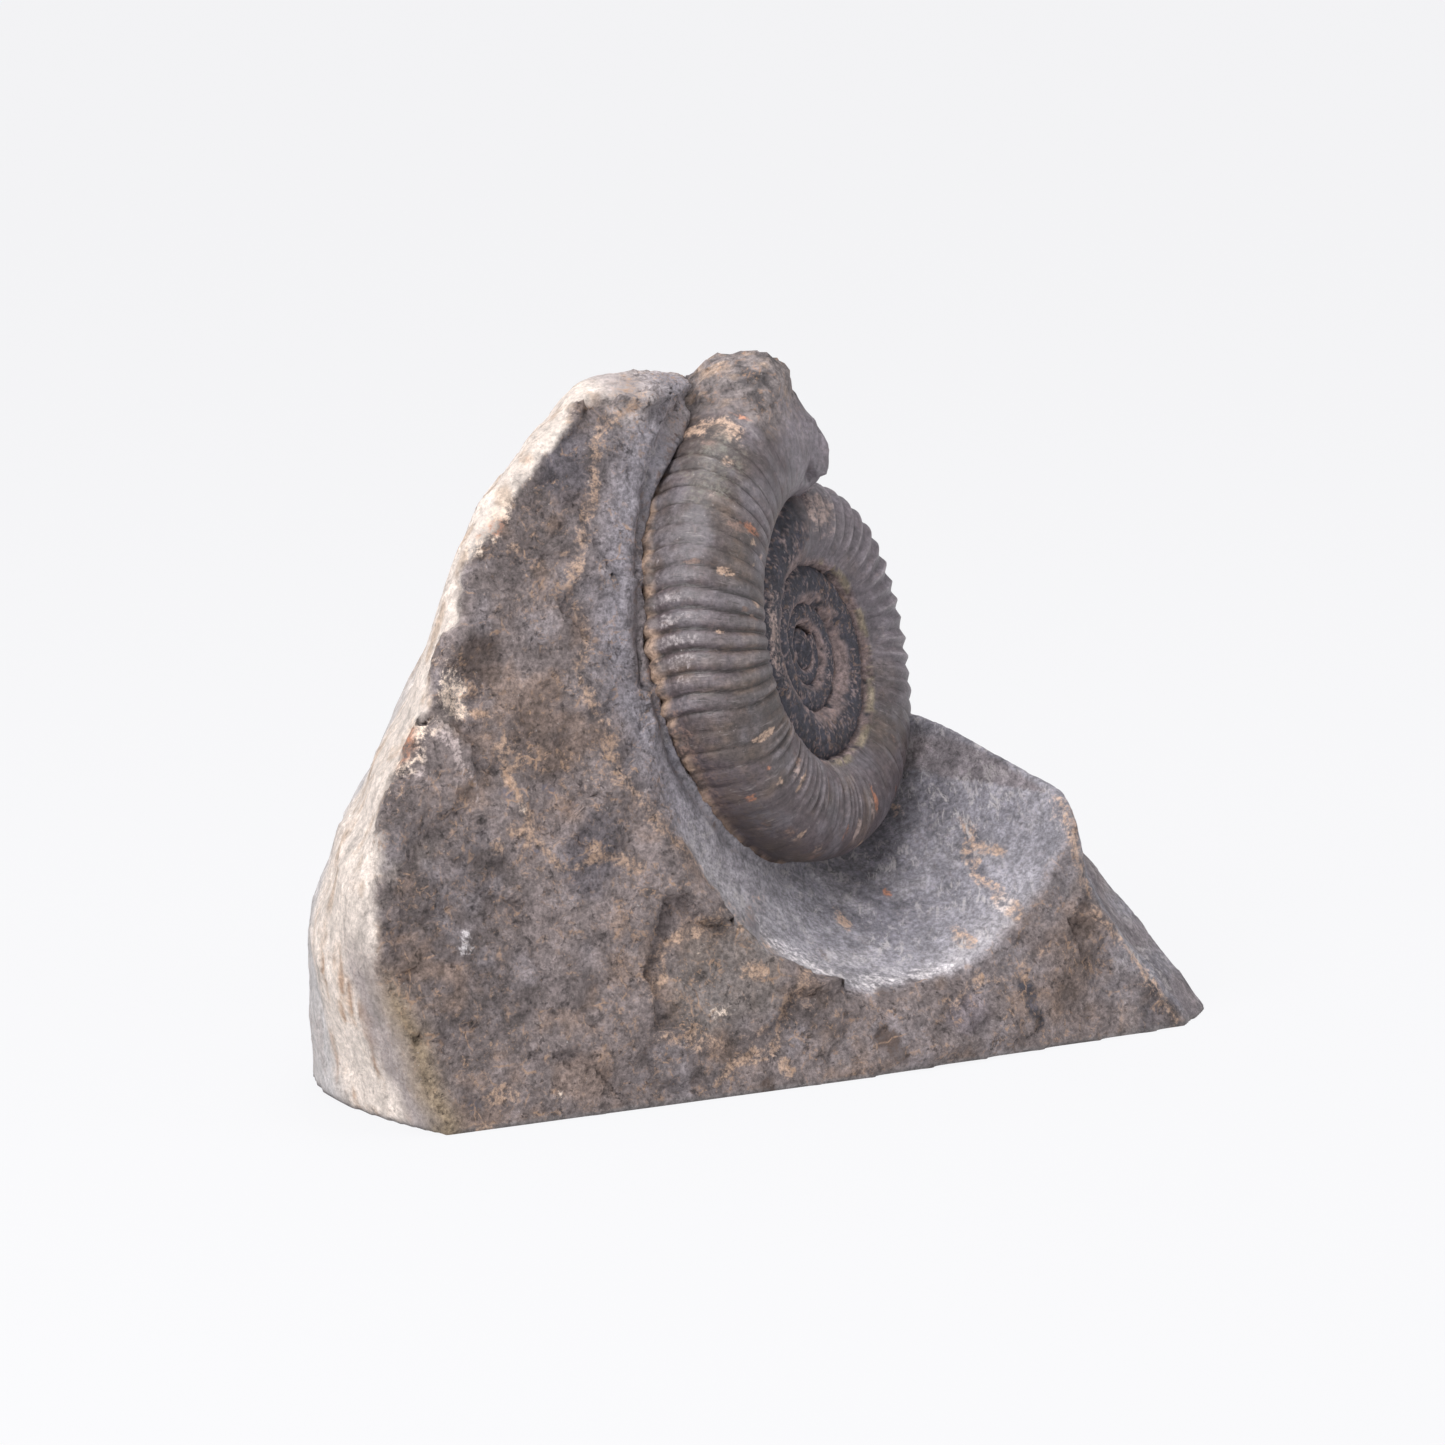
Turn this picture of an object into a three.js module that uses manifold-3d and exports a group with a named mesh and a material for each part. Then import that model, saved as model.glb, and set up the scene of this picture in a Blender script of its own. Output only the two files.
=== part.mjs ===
// Ammonite fossil standing free in its piece of host rock. Millimetres, +Z up.
// X runs along the long front edge of the sawn base, Y runs to the back.
import * as THREE from "three";
import { mergeVertices } from "three/addons/utils/BufferGeometryUtils.js";
import Module from "manifold-3d";

// ---- driving dimensions ----
const SLIVER = 0.05; // edges shorter than this are folded away after a cut

// the coiled shell
const SHELL_CENTRE = [11, -5, 61.5];
const SHELL_TURN = 35; // the flank looks this many degrees from the front towards +X
const SHELL_TIP = 13; // and this many degrees upwards
const SHELL_RADIUS = 46; // centre to venter where the last whorl would reach SHELL_END
const SHELL_END = 385; // degrees clockwise from the top, seen from the clean flank
const WHORL_EXPANSION = 1.78; // radius gain in one turn
const BROKEN_END = 373; // where the last whorl is broken off
const BREAK_FROM = 350; // from here on its venter is worn down
const BREAK_DROP = 4.2;
const SWELL_ANGLE = 42; // the earlier whorl stands a little proud here
const SWELL_HEIGHT = 2.8;
const INNER_START = -1040; // where the innermost whorl begins
const SEAM_RATIO = 0.93; // inner edge of a whorl over the radius of the whorl below it
const HALF_WIDTH = 0.226; // half the whorl's thickness over its radius
const RIB_COUNT = 46; // ribs in one turn
const RIB_HEIGHT = 0.55;
const SECTION_SIDES = 18;
const SOCKET_GAP = 0.35;
const CORE_RADIUS = 3.6;
const CORE_HALF = 0.9;
const CREST_ANGLE = 353; // the rind on the broken end: where, how big along, out and sideways
const CREST_LIFT = -1.6;
const CREST_SIDE = -1;
const CREST_SIZE = [11, 5.5, 8];

// the rock: its upright edges as [height, x, y] knots with a smooth curve through them; the edges
// of the broken front give only [height, x], because the front is a leaning plane
const FRONT_FOOT = -40; // where the broken front meets the base
const FRONT_LEAN = 15; // degrees it leans back
const FRONT_SWING = 5; // its right end stands back by this at the base
const SHOULDER = 44; // height of the right shoulder
const WALL_FOOT = 49; // from here on only the rock behind the shell goes up
const LEFT_RIDGE = [[0, -68], [35, -76], [65, -61], [88, -47], [105, -30]];
const LEFT_SIDE = [[0, -74, -8], [30, -75, -8], [65, -57, -8], [90, -46, -7], [105, -30, -5]];
const BACK_LEFT = [[0, -62, 15], [50, -50, 18], [105, -19, 8]];
const BACK_MIDDLE = [[0, -4, 22], [50, -8, 26], [105, -11, 9]];
const SHOULDER_BACK = [[0, 62, 13], [SHOULDER, 45, 20]];
const SHOULDER_END = [[0, 77, -26], [SHOULDER, 59, 0]];
const SHOULDER_RIDGE = [[0, 66], [24, 52], [SHOULDER, 47]];
const WALL_BACK = [[WALL_FOOT, 36, 24], [75, 25, 21], [105, 0, 7]];
const WALL_END = [[WALL_FOOT, 36, 15], [75, 28, 12], [105, 2, 3]];
const WALL_RIDGE = [[WALL_FOOT, 33, 9], [75, 26, 7], [105, 1, -1]];
const HOLLOW_SIDE_LOW = [[0, 2], [SHOULDER, 0]];
const HOLLOW_SIDE_HIGH = [[WALL_FOOT, -18], [80, -24], [105, -19]];
const TOP_LEVEL = 105;
const CROWN = 2.4; // how far the rough top stands above the last level
const SHELF_FALL = 0.25; // the right shoulder falls by this share towards its far end

// the prepared hollow in front of the shell: an ellipse on the broken front
const RIM_CENTRE = [13, 68];
const RIM_RADII = [44, 56];
const HOLLOW_DISH = 2.2;
const CONTACT_DEPTH = 5; // how far behind the shell's mid-plane the rock meets it

const rad = THREE.MathUtils.degToRad;
const wasm = await Module();
wasm.setup();

/** A closed three.js geometry as a solid. */
function solidOf(geometry) {
  const bare = geometry.clone();
  bare.deleteAttribute("normal");
  bare.deleteAttribute("uv");
  const merged = mergeVertices(bare, 1e-4);
  const mesh = new wasm.Mesh({
    numProp: 3,
    vertProperties: new Float32Array(merged.attributes.position.array),
    triVerts: new Uint32Array(merged.index.array),
  });
  return new wasm.Manifold(mesh);
}

/** Folds edges shorter than the tolerance to one point, where that keeps the surface closed. */
function withoutSlivers(positions, triangles, tolerance) {
  const points = [];
  for (let i = 0; i < positions.length; i += 3) {
    points.push(new THREE.Vector3(positions[i], positions[i + 1], positions[i + 2]));
  }
  let faces = [];
  for (let i = 0; i < triangles.length; i += 3) {
    faces.push([triangles[i], triangles[i + 1], triangles[i + 2]]);
  }
  for (let pass = 0; pass < 12; pass += 1) {
    const around = points.map(() => new Set());
    for (const [a, b, c] of faces) {
      around[a].add(b).add(c);
      around[b].add(a).add(c);
      around[c].add(a).add(b);
    }
    const target = points.map((_, i) => i);
    const busy = new Set();
    let folds = 0;
    for (const face of faces) {
      for (let k = 0; k < 3; k += 1) {
        const a = face[k];
        const b = face[(k + 1) % 3];
        if (busy.has(a) || busy.has(b)) continue;
        if (points[a].distanceTo(points[b]) >= tolerance) continue;
        const shared = [...around[a]].filter((n) => around[b].has(n));
        if (shared.length !== 2) continue;
        target[b] = a;
        folds += 1;
        for (const n of [...around[a], ...around[b]]) busy.add(n);
        busy.add(a).add(b);
      }
    }
    if (folds === 0) break;
    faces = faces.map((f) => f.map((i) => target[i]));
    faces = faces.filter(([a, b, c]) => a !== b && b !== c && a !== c);
  }
  return { points, faces };
}

/** A solid back as a three.js geometry. */
function geometryOf(solid) {
  const mesh = solid.getMesh();
  const { points, faces } = withoutSlivers(mesh.vertProperties, mesh.triVerts, SLIVER);
  const geometry = new THREE.BufferGeometry();
  geometry.setFromPoints(points);
  geometry.setIndex(faces.flat());
  const tidy = mergeVertices(geometry, 1e-5);
  tidy.computeVertexNormals();
  return tidy;
}

/** Moves every vertex of a geometry to place(x, y, z). */
function reshape(geometry, place) {
  const position = geometry.attributes.position;
  for (let i = 0; i < position.count; i += 1) {
    const p = place(position.getX(i), position.getY(i), position.getZ(i));
    position.setXYZ(i, p.x, p.y, p.z);
  }
  return geometry;
}

/** Turns a geometry's faces round. */
function flipped(geometry) {
  const index = geometry.index.array;
  for (let i = 0; i < index.length; i += 3) {
    const keep = index[i];
    index[i] = index[i + 1];
    index[i + 1] = keep;
  }
  return geometry;
}

/** How far back the leaning plane of the broken front stands at a height. */
function frontAt(height) {
  return FRONT_FOOT + height * Math.tan(rad(FRONT_LEAN));
}

/** The value of column k of an edge's knots at a height, on a smooth curve through them. */
function columnAt(knots, k, height) {
  const last = knots.length - 1;
  const h = THREE.MathUtils.clamp(height, knots[0][0], knots[last][0]);
  let i = 0;
  while (i < last - 1 && knots[i + 1][0] < h) i += 1;
  const slopeAt = (n) => {
    const low = knots[Math.max(0, n - 1)];
    const high = knots[Math.min(last, n + 1)];
    return (high[k] - low[k]) / (high[0] - low[0]);
  };
  const run = knots[i + 1][0] - knots[i][0];
  const t = (h - knots[i][0]) / run;
  const start = (1 + 2 * t) * (1 - t) ** 2 * knots[i][k] + t * (1 - t) ** 2 * run * slopeAt(i);
  const end = t * t * (3 - 2 * t) * knots[i + 1][k] + t * t * (t - 1) * run * slopeAt(i + 1);
  return start + end;
}

/** The point of an edge at a height; an edge without y values lies on the broken front. */
function edgeAt(knots, height) {
  const x = columnAt(knots, 1, height);
  return new THREE.Vector2(x, knots[0].length > 2 ? columnAt(knots, 2, height) : frontAt(height));
}

/** The point of an edge that steps in above the shoulder. */
function steppedAt(below, above, height) {
  const t = THREE.MathUtils.clamp((height - SHOULDER) / (WALL_FOOT - SHOULDER), 0, 1);
  return edgeAt(below, height).lerp(edgeAt(above, height), t);
}

/** The ridge between the front and the right end, which swings back towards the base. */
function rightRidgeAt(height) {
  const ridge = steppedAt(SHOULDER_RIDGE, WALL_RIDGE, height);
  ridge.y += FRONT_SWING * Math.max(0, 1 - height / SHOULDER);
  return ridge;
}

/** A point along the two-piece line a-m-b, with the middle at share k. */
function bent(a, m, b, k, t) {
  if (t < k) return a.clone().lerp(m, t / k);
  return m.clone().lerp(b, (t - k) / (1 - k));
}

/** A smooth curve a-m-b through its middle point. */
function bowed(a, m, b, t) {
  const chord = a.clone().lerp(b, 0.5);
  const lift = m.clone().sub(chord).multiplyScalar(4 * t * (1 - t));
  return a.clone().lerp(b, t).add(lift);
}

/** A gentle unevenness of broken stone. */
function unevenness(x, y, z, seed) {
  const a = Math.sin(0.21 * x + 0.13 * z + seed) * Math.cos(0.17 * y - 0.19 * z + 2 * seed);
  const b = Math.sin(0.47 * x - 0.33 * y + 0.29 * z + 3 * seed);
  return 0.6 * a + 0.4 * b;
}

/** The rock before its hollow is cut: a box drawn out between its upright edges. */
function rockBlock() {
  const box = new THREE.BoxGeometry(1, 1, 1, 30, 12, 36);
  return reshape(box, (bx, by, bz) => {
    const u = bx + 0.5;
    const v = by + 0.5;
    const w = bz + 0.5;
    const h = TOP_LEVEL * w;
    const fl = edgeAt(LEFT_RIDGE, h);
    const fr = rightRidgeAt(h);
    const bl = edgeAt(BACK_LEFT, h);
    const br = steppedAt(SHOULDER_BACK, WALL_BACK, h);
    const front = bent(fl, steppedAt(HOLLOW_SIDE_LOW, HOLLOW_SIDE_HIGH, h), fr, 0.5, u);
    const back = bowed(bl, edgeAt(BACK_MIDDLE, h), br, u);
    const left = bowed(fl, edgeAt(LEFT_SIDE, h), bl, v);
    const right = bent(fr, steppedAt(SHOULDER_END, WALL_END, h), br, 0.4, v);
    const p = front.multiplyScalar(1 - v).addScaledVector(back, v);
    p.addScaledVector(left, 1 - u).addScaledVector(right, u);
    p.addScaledVector(fl, -(1 - u) * (1 - v)).addScaledVector(fr, -u * (1 - v));
    p.addScaledVector(bl, -(1 - u) * v).addScaledVector(br, -u * v);
    const fall = 1 - SHELF_FALL * THREE.MathUtils.smoothstep(p.x, 36, 62);
    const crown = w > 0.999 ? CROWN * Math.sin(Math.PI * u) * Math.sin(Math.PI * v) : 0;
    const z = h * fall + crown;
    const rough = w > 0.001 ? 0.7 : 0;
    return new THREE.Vector3(
      p.x + rough * unevenness(p.x, p.y, z, 1.3),
      p.y + rough * unevenness(p.y, p.x, z, 4.1),
      z + (w > 0.999 ? 0.5 * unevenness(p.x, p.y, z, 2.2) : 0),
    );
  });
}

// ---- the shell's own directions ----
const turn = rad(SHELL_TURN);
const tip = rad(SHELL_TIP);
const centre = new THREE.Vector3(...SHELL_CENTRE);
const outward = new THREE.Vector3(
  Math.sin(turn) * Math.cos(tip),
  -Math.cos(turn) * Math.cos(tip),
  Math.sin(tip),
);
const upward = new THREE.Vector3(0, 0, 1).addScaledVector(outward, -outward.z).normalize();
const across = new THREE.Vector3().crossVectors(outward, upward).negate();

/** Distance from the coil's centre to the venter at a spiral angle. */
function ventre(phi) {
  const coil = SHELL_RADIUS * WHORL_EXPANSION ** ((phi - SHELL_END) / 360);
  const swell = SWELL_HEIGHT * Math.exp(-(((phi - SWELL_ANGLE) / 38) ** 2));
  const worn = BREAK_DROP * THREE.MathUtils.smoothstep(phi, BREAK_FROM, BROKEN_END);
  return coil + swell - worn;
}

/** The point at a spiral angle, a distance from the centre and a distance off the mid-plane. */
function onShell(phi, radius, side) {
  const a = rad(phi);
  return centre.clone()
    .addScaledVector(across, Math.sin(a) * radius)
    .addScaledVector(upward, Math.cos(a) * radius)
    .addScaledVector(outward, side);
}

/** One stretch of whorl: a capped cylinder bent round the spiral. */
function whorlStretch(from, to, steps, sides, ribs, grow) {
  const tube = new THREE.CylinderGeometry(1, 1, 1, sides, steps);
  reshape(tube, (cx, cy, cz) => {
    const share = cy + 0.5;
    const phi = from + (to - from) * share;
    const outer = ventre(phi);
    const inner = SEAM_RATIO * ventre(phi - 360);
    const half = 0.5 * (outer - inner);
    const round = Math.hypot(cx, cz);
    const c = round > 1e-6 ? cx / round : 0;
    const s = round > 1e-6 ? cz / round : 0;
    const sc = Math.sign(c) * Math.abs(c) ** 0.9;
    const ss = Math.sign(s) * Math.abs(s) ** 0.9;
    const crest = Math.cos((phi * RIB_COUNT * Math.PI) / 180);
    const lift = ribs * RIB_HEIGHT * crest * THREE.MathUtils.smoothstep(c, -0.5, 0.3);
    const size = round > 0.5 ? 1 : 0;
    const r = 0.5 * (outer + inner) + size * sc * (half + grow + lift);
    const t = size * ss * (HALF_WIDTH * outer + grow + lift);
    return onShell(phi, r, t);
  });
  return flipped(tube);
}

/** The coiled shell as one solid, grow larger all over. */
function shellSolid(ribs, grow) {
  const spans = [];
  const stretch = 20 * (360 / RIB_COUNT);
  const steps = ribs ? 40 : 14;
  const sides = ribs ? SECTION_SIDES : 14;
  for (let end = BROKEN_END; end > BROKEN_END - 366; end -= stretch) {
    spans.push([end - stretch, end, steps, sides, ribs]);
  }
  const innerEnd = spans[spans.length - 1][0] + 6;
  for (let end = innerEnd; end > INNER_START; end -= 170) {
    spans.push([end - 176, end, end > -360 ? 14 : 9, end > -360 ? 12 : 8, 0]);
  }
  let solid = null;
  for (const [from, to, steps, sides, ribbed] of spans) {
    const piece = solidOf(whorlStretch(from - 1, to, steps, sides, ribbed, grow));
    solid = solid ? solid.add(piece) : piece;
  }
  return solid.add(solidOf(coreButton(grow))).add(solidOf(crestLump(grow)));
}

/** The first chamber, a small lens that closes the middle of the coil. */
function coreButton(grow) {
  const ball = new THREE.SphereGeometry(1, 12, 8);
  return reshape(ball, (x, y, z) => centre.clone()
    .addScaledVector(across, x * (CORE_RADIUS + grow))
    .addScaledVector(upward, y * (CORE_RADIUS + grow))
    .addScaledVector(outward, z * (CORE_HALF + grow)));
}

/** The rind of host rock left sticking to the venter at the broken end. */
function crestLump(grow) {
  const ball = new THREE.IcosahedronGeometry(1, 3);
  const seat = onShell(CREST_ANGLE, ventre(CREST_ANGLE) + CREST_LIFT, CREST_SIDE);
  const along = onShell(CREST_ANGLE + 90, 1, 0).sub(centre);
  const out = onShell(CREST_ANGLE, 1, 0).sub(centre);
  return reshape(ball, (x, y, z) => {
    const rough = 1 + 0.07 * unevenness(40 * x, 40 * y, 40 * z, 0.7);
    return seat.clone()
      .addScaledVector(along, x * (CREST_SIZE[0] * rough + grow))
      .addScaledVector(out, y * (CREST_SIZE[1] * rough + grow))
      .addScaledVector(outward, z * (CREST_SIZE[2] * rough + grow));
  });
}

/** The hollow cut in front of the shell: from the rim on the broken front back to the shell. */
function hollowCutter() {
  const lean = rad(FRONT_LEAN);
  const drum = new THREE.CylinderGeometry(1, 1, 1, 48, 6);
  return reshape(flipped(drum), (cx, cy, cz) => {
    const share = 0.5 - cy; // 0 outside the front, 1 behind the shell's mid-plane
    const round = Math.min(1, Math.hypot(cx, cz));
    const angle = Math.atan2(cx, cz);
    const slope = RIM_CENTRE[1] + RIM_RADII[1] * round * Math.cos(angle);
    const rim = new THREE.Vector3(
      RIM_CENTRE[0] + RIM_RADII[0] * round * Math.sin(angle),
      FRONT_FOOT + slope * Math.sin(lean),
      slope * Math.cos(lean),
    );
    const phi = THREE.MathUtils.radToDeg(angle) + (angle < 0.1 ? 360 : 0);
    const seat = onShell(phi, round * (ventre(phi) + 0.8), -CONTACT_DEPTH);
    const t = -0.35 + 1.35 * share;
    const dish = HOLLOW_DISH * Math.max(0, 4 * t * (1 - t)) * round;
    const p = rim.lerp(seat, t);
    p.z -= dish * Math.max(0, -Math.cos(angle));
    return p;
  });
}

function stone(name, solid, color, roughness) {
  const material = new THREE.MeshStandardMaterial({ color, roughness, metalness: 0 });
  const mesh = new THREE.Mesh(geometryOf(solid), material);
  mesh.name = name;
  return mesh;
}

const shell = shellSolid(1, 0);
const block = solidOf(rockBlock());
const hollow = solidOf(hollowCutter());
const socket = shellSolid(0, SOCKET_GAP + RIB_HEIGHT);
const rock = block.subtract(hollow).subtract(socket);

const fossil = new THREE.Group();
fossil.name = "ammonite_fossil";
fossil.add(stone("host_rock", rock, 0x6b6360, 0.86));
fossil.add(stone("ammonite", shell, 0x5a5250, 0.62));

// the origin goes under the middle of the whole piece
const middle = new THREE.Box3().setFromObject(fossil).getCenter(new THREE.Vector3());
for (const piece of fossil.children) piece.position.set(-middle.x, -middle.y, 0);

export default fossil;
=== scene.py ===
"""A coiled ammonite standing in high relief from its block of host rock, with a studio to show it in."""

import logging
import math
from dataclasses import dataclass
from enum import Enum

import bmesh
import bpy
import numpy as np
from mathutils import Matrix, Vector


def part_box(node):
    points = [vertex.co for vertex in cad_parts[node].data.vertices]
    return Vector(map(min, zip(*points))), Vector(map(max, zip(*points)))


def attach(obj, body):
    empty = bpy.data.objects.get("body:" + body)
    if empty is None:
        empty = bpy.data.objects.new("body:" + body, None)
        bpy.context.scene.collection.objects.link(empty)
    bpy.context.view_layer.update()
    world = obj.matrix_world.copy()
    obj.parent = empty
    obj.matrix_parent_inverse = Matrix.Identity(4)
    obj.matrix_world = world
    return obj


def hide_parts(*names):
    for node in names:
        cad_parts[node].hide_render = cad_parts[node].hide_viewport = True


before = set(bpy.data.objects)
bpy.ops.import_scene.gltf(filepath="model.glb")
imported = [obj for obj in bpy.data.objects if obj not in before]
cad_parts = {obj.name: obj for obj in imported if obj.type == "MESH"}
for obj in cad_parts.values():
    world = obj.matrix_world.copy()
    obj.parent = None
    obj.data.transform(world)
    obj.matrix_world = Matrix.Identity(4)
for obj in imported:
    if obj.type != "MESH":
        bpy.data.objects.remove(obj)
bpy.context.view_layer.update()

LOG = logging.getLogger("ammonite")
MM = 0.001

Array = np.ndarray
ROCK_BOX = np.array([list(corner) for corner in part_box("host_rock")]) / MM
SHELL_BOX = np.array([list(corner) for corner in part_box("ammonite")]) / MM
CORNER_TO_CENTRE = (34.49, 26.58, 32.94)  # from the shell's lowest corner to the middle of its coil
Colour = tuple[float, float, float]


def tint(red: int, green: int, blue: int) -> Colour:
    """Turns a colour as it looks on a screen into the linear one that shaders take.

    Args:
        red: Red, 0 to 255.
        green: Green, 0 to 255.
        blue: Blue, 0 to 255.

    Returns:
        The linear colour.
    """
    parts = []
    for value in (red, green, blue):
        share = value / 255
        parts.append(share / 12.92 if share <= 0.04045 else ((share + 0.055) / 1.055) ** 2.4)
    return (parts[0], parts[1], parts[2])


TAN = tint(168, 142, 124)
CREAM = tint(224, 204, 188)
WHITE = tint(194, 188, 190)
RUST = tint(158, 108, 84)
PINK = tint(172, 158, 156)
LAVENDER = tint(140, 135, 142)
CHARCOAL = tint(62, 62, 70)
DUSK = tint(94, 90, 98)
BROWN = tint(84, 71, 66)
OCHRE = tint(148, 130, 106)


def ease(value: Array, low: float, high: float) -> Array:
    """Rises smoothly from 0 at low to 1 at high, or falls if low is the larger."""
    share = np.clip((value - low) / (high - low), 0.0, 1.0)
    return share * share * (3 - 2 * share)


def bell(value: Array, middle: float, spread: float) -> Array:
    """A smooth hump of 1 at middle that dies away over spread."""
    return np.exp(-(((value - middle) / spread) ** 2))


class StoneNoise:
    """Repeatable unevenness for stone, worked out at many points at once."""

    @staticmethod
    def scatter(cells: Array, seed: int) -> Array:
        """Gives every whole-numbered cell its own value from 0 to 1.

        Args:
            cells: Whole-numbered X, Y and Z of the cells.
            seed: Picks one pattern out of many.

        Returns:
            A value for each cell.
        """
        c = cells.astype(np.int64)
        mixed = c[..., 0] * 374761393 + c[..., 1] * 668265263 + c[..., 2] * 2147483647
        mixed = (mixed + seed * 974634777) & 0xFFFFFFFF
        mixed = ((mixed ^ (mixed >> 13)) * 1274126177) & 0xFFFFFFFF
        mixed = ((mixed ^ (mixed >> 16)) * 2246822519) & 0xFFFFFFFF
        return ((mixed ^ (mixed >> 15)) & 0xFFFFFF) / float(0xFFFFFF)

    @classmethod
    def lots(cls, count: int, width: int, seed: int) -> Array:
        """Repeatable chance values from 0 to 1, a row of width for each of count things."""
        row, column = np.meshgrid(np.arange(count), np.arange(width), indexing="ij")
        return cls.scatter(np.stack([row, column, 0 * row], axis=2), seed)

    @classmethod
    def swell(cls, points: Array, size: float, seed: int) -> Array:
        """Smooth swelling between -1 and 1.

        Args:
            points: Points in millimetres, one a row.
            size: How far apart the swells are, in millimetres.
            seed: Which pattern.

        Returns:
            One value a point.
        """
        place = points / size + 31.7 * seed
        base = np.floor(place)
        part = place - base
        part = part * part * part * (part * (part * 6 - 15) + 10)
        total = np.zeros(len(points))
        for corner in range(8):
            step = np.array([corner & 1, (corner >> 1) & 1, (corner >> 2) & 1])
            weight = np.prod(np.where(step == 1, part, 1 - part), axis=1)
            total += weight * cls.scatter(base + step, seed)
        return 2 * total - 1

    @classmethod
    def rough(cls, points: Array, size: float, seed: int, layers: int = 4) -> Array:
        """Swelling with finer swelling on it, about -1 to 1.

        Args:
            points: Places to judge, in millimetres.
            size: Width of the largest feature, in millimetres.
            seed: Picks one pattern out of many.
            layers: How many finer patterns are added.

        Returns:
            The swelling at each point.
        """
        total = np.zeros(len(points))
        share, norm = 1.0, 0.0
        for layer in range(layers):
            total += share * cls.swell(points, size / 2.03**layer, seed + 7 * layer)
            norm += share
            share *= 0.55
        return total / norm * 1.4

    @classmethod
    def chips(cls, points: Array, size: float, seed: int) -> tuple[Array, Array, Array]:
        """Flat flakes such as a hammer leaves on stone.

        Args:
            points: Points in millimetres, one a row.
            size: How wide a flake is, in millimetres.
            seed: Which pattern.

        Returns:
            The tilt of the flake at each point, the flake's own value from 0 to 1, and the
            distance to the flake's edge, as a share of its size.
        """
        warped = points + 0.22 * size * np.stack(
            [cls.swell(points, 0.6 * size, seed + k) for k in (1, 2, 3)], axis=1
        )
        place = warped / size
        base = np.floor(place)
        near = np.full(len(points), 9.0)
        second = np.full(len(points), 9.0)
        tilt = np.zeros(len(points))
        value = np.zeros(len(points))
        for i in (-1, 0, 1):
            for j in (-1, 0, 1):
                for k in (-1, 0, 1):
                    cell = base + np.array([i, j, k])
                    spot = np.stack([cls.scatter(cell, seed + n) for n in (11, 12, 13)], axis=1)
                    lean = np.stack([cls.scatter(cell, seed + n) for n in (21, 22, 23)], axis=1)
                    away = place - cell - spot
                    gap = np.linalg.norm(away, axis=1)
                    first = gap < near
                    second = np.where(first, near, np.minimum(second, gap))
                    tilt = np.where(first, np.sum(away * (lean - 0.5), axis=1), tilt)
                    value = np.where(first, lean[:, 0], value)
                    near = np.where(first, gap, near)
        return tilt * size, value, second - near


def read_points(mesh: bpy.types.Mesh) -> Array:
    """Reads where a mesh's vertices are.

    Args:
        mesh: The mesh.

    Returns:
        The vertices in millimetres, one a row.
    """
    flat = np.empty(len(mesh.vertices) * 3, dtype=np.float32)
    mesh.vertices.foreach_get("co", flat)
    return flat.reshape(-1, 3).astype(np.float64) / MM


def read_normals(mesh: bpy.types.Mesh) -> Array:
    """Reads which way a mesh's vertices face.

    Args:
        mesh: The mesh.

    Returns:
        The vertex normals, one a row.
    """
    flat = np.empty(len(mesh.vertices) * 3, dtype=np.float32)
    mesh.vertices.foreach_get("normal", flat)
    return flat.reshape(-1, 3).astype(np.float64)


def write_points(mesh: bpy.types.Mesh, points: Array) -> None:
    """Moves a mesh's vertices to points in millimetres."""
    mesh.vertices.foreach_set("co", (points * MM).astype(np.float32).ravel())
    mesh.update()


def write_layer(mesh: bpy.types.Mesh, name: str, values: Array) -> None:
    """Stores a colour for every vertex of a mesh.

    Args:
        mesh: The mesh.
        name: The layer's name, which the finish reads.
        values: Three or four values from 0 to 1 a vertex.
    """
    layer = mesh.attributes.new(name, "FLOAT_COLOR", "POINT")
    full = np.ones((len(values), 4), dtype=np.float32)
    full[:, : values.shape[1]] = values
    layer.data.foreach_set("color", full.ravel())


def add_object(name: str, mesh: bpy.types.Mesh) -> bpy.types.Object:
    """Puts a mesh in the scene as an object.

    Args:
        name: The piece's name.
        mesh: Its mesh.

    Returns:
        The new object.
    """
    piece = bpy.data.objects.new(name, mesh)
    bpy.context.scene.collection.objects.link(piece)
    return piece


def coat(count: int, colour: Colour) -> Array:
    """The same colour for each of count points."""
    return np.tile(np.array(colour), (count, 1))


def mix(base: Array, colour: Colour | Array, share: Array) -> Array:
    """Lays one colour, or a colour for each point, over painted points by each point's share."""
    return base + (np.array(colour) - base) * share[:, None]


def stack_stains(count: int, layers: list[tuple[Colour, Array]]) -> Array:
    """Lays marks over each other.

    Args:
        count: How many points there are.
        layers: Each mark's colour, and its share at each point.

    Returns:
        The colour of the topmost mark at each point, with the strongest share as a fourth value.
    """
    stain = np.zeros((count, 4))
    for colour, share in layers:
        stain[:, :3] = mix(stain[:, :3], colour, ease(share, 0, 0.25))
        stain[:, 3] = np.maximum(stain[:, 3], share)
    return stain


def on_block(across: float, up: float) -> Array:
    """The X and height, in millimetres, at shares of the block's width and height from its lower left."""
    low, high = ROCK_BOX[:, [0, 2]]
    return low + (high - low) * np.array([across, up])


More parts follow.
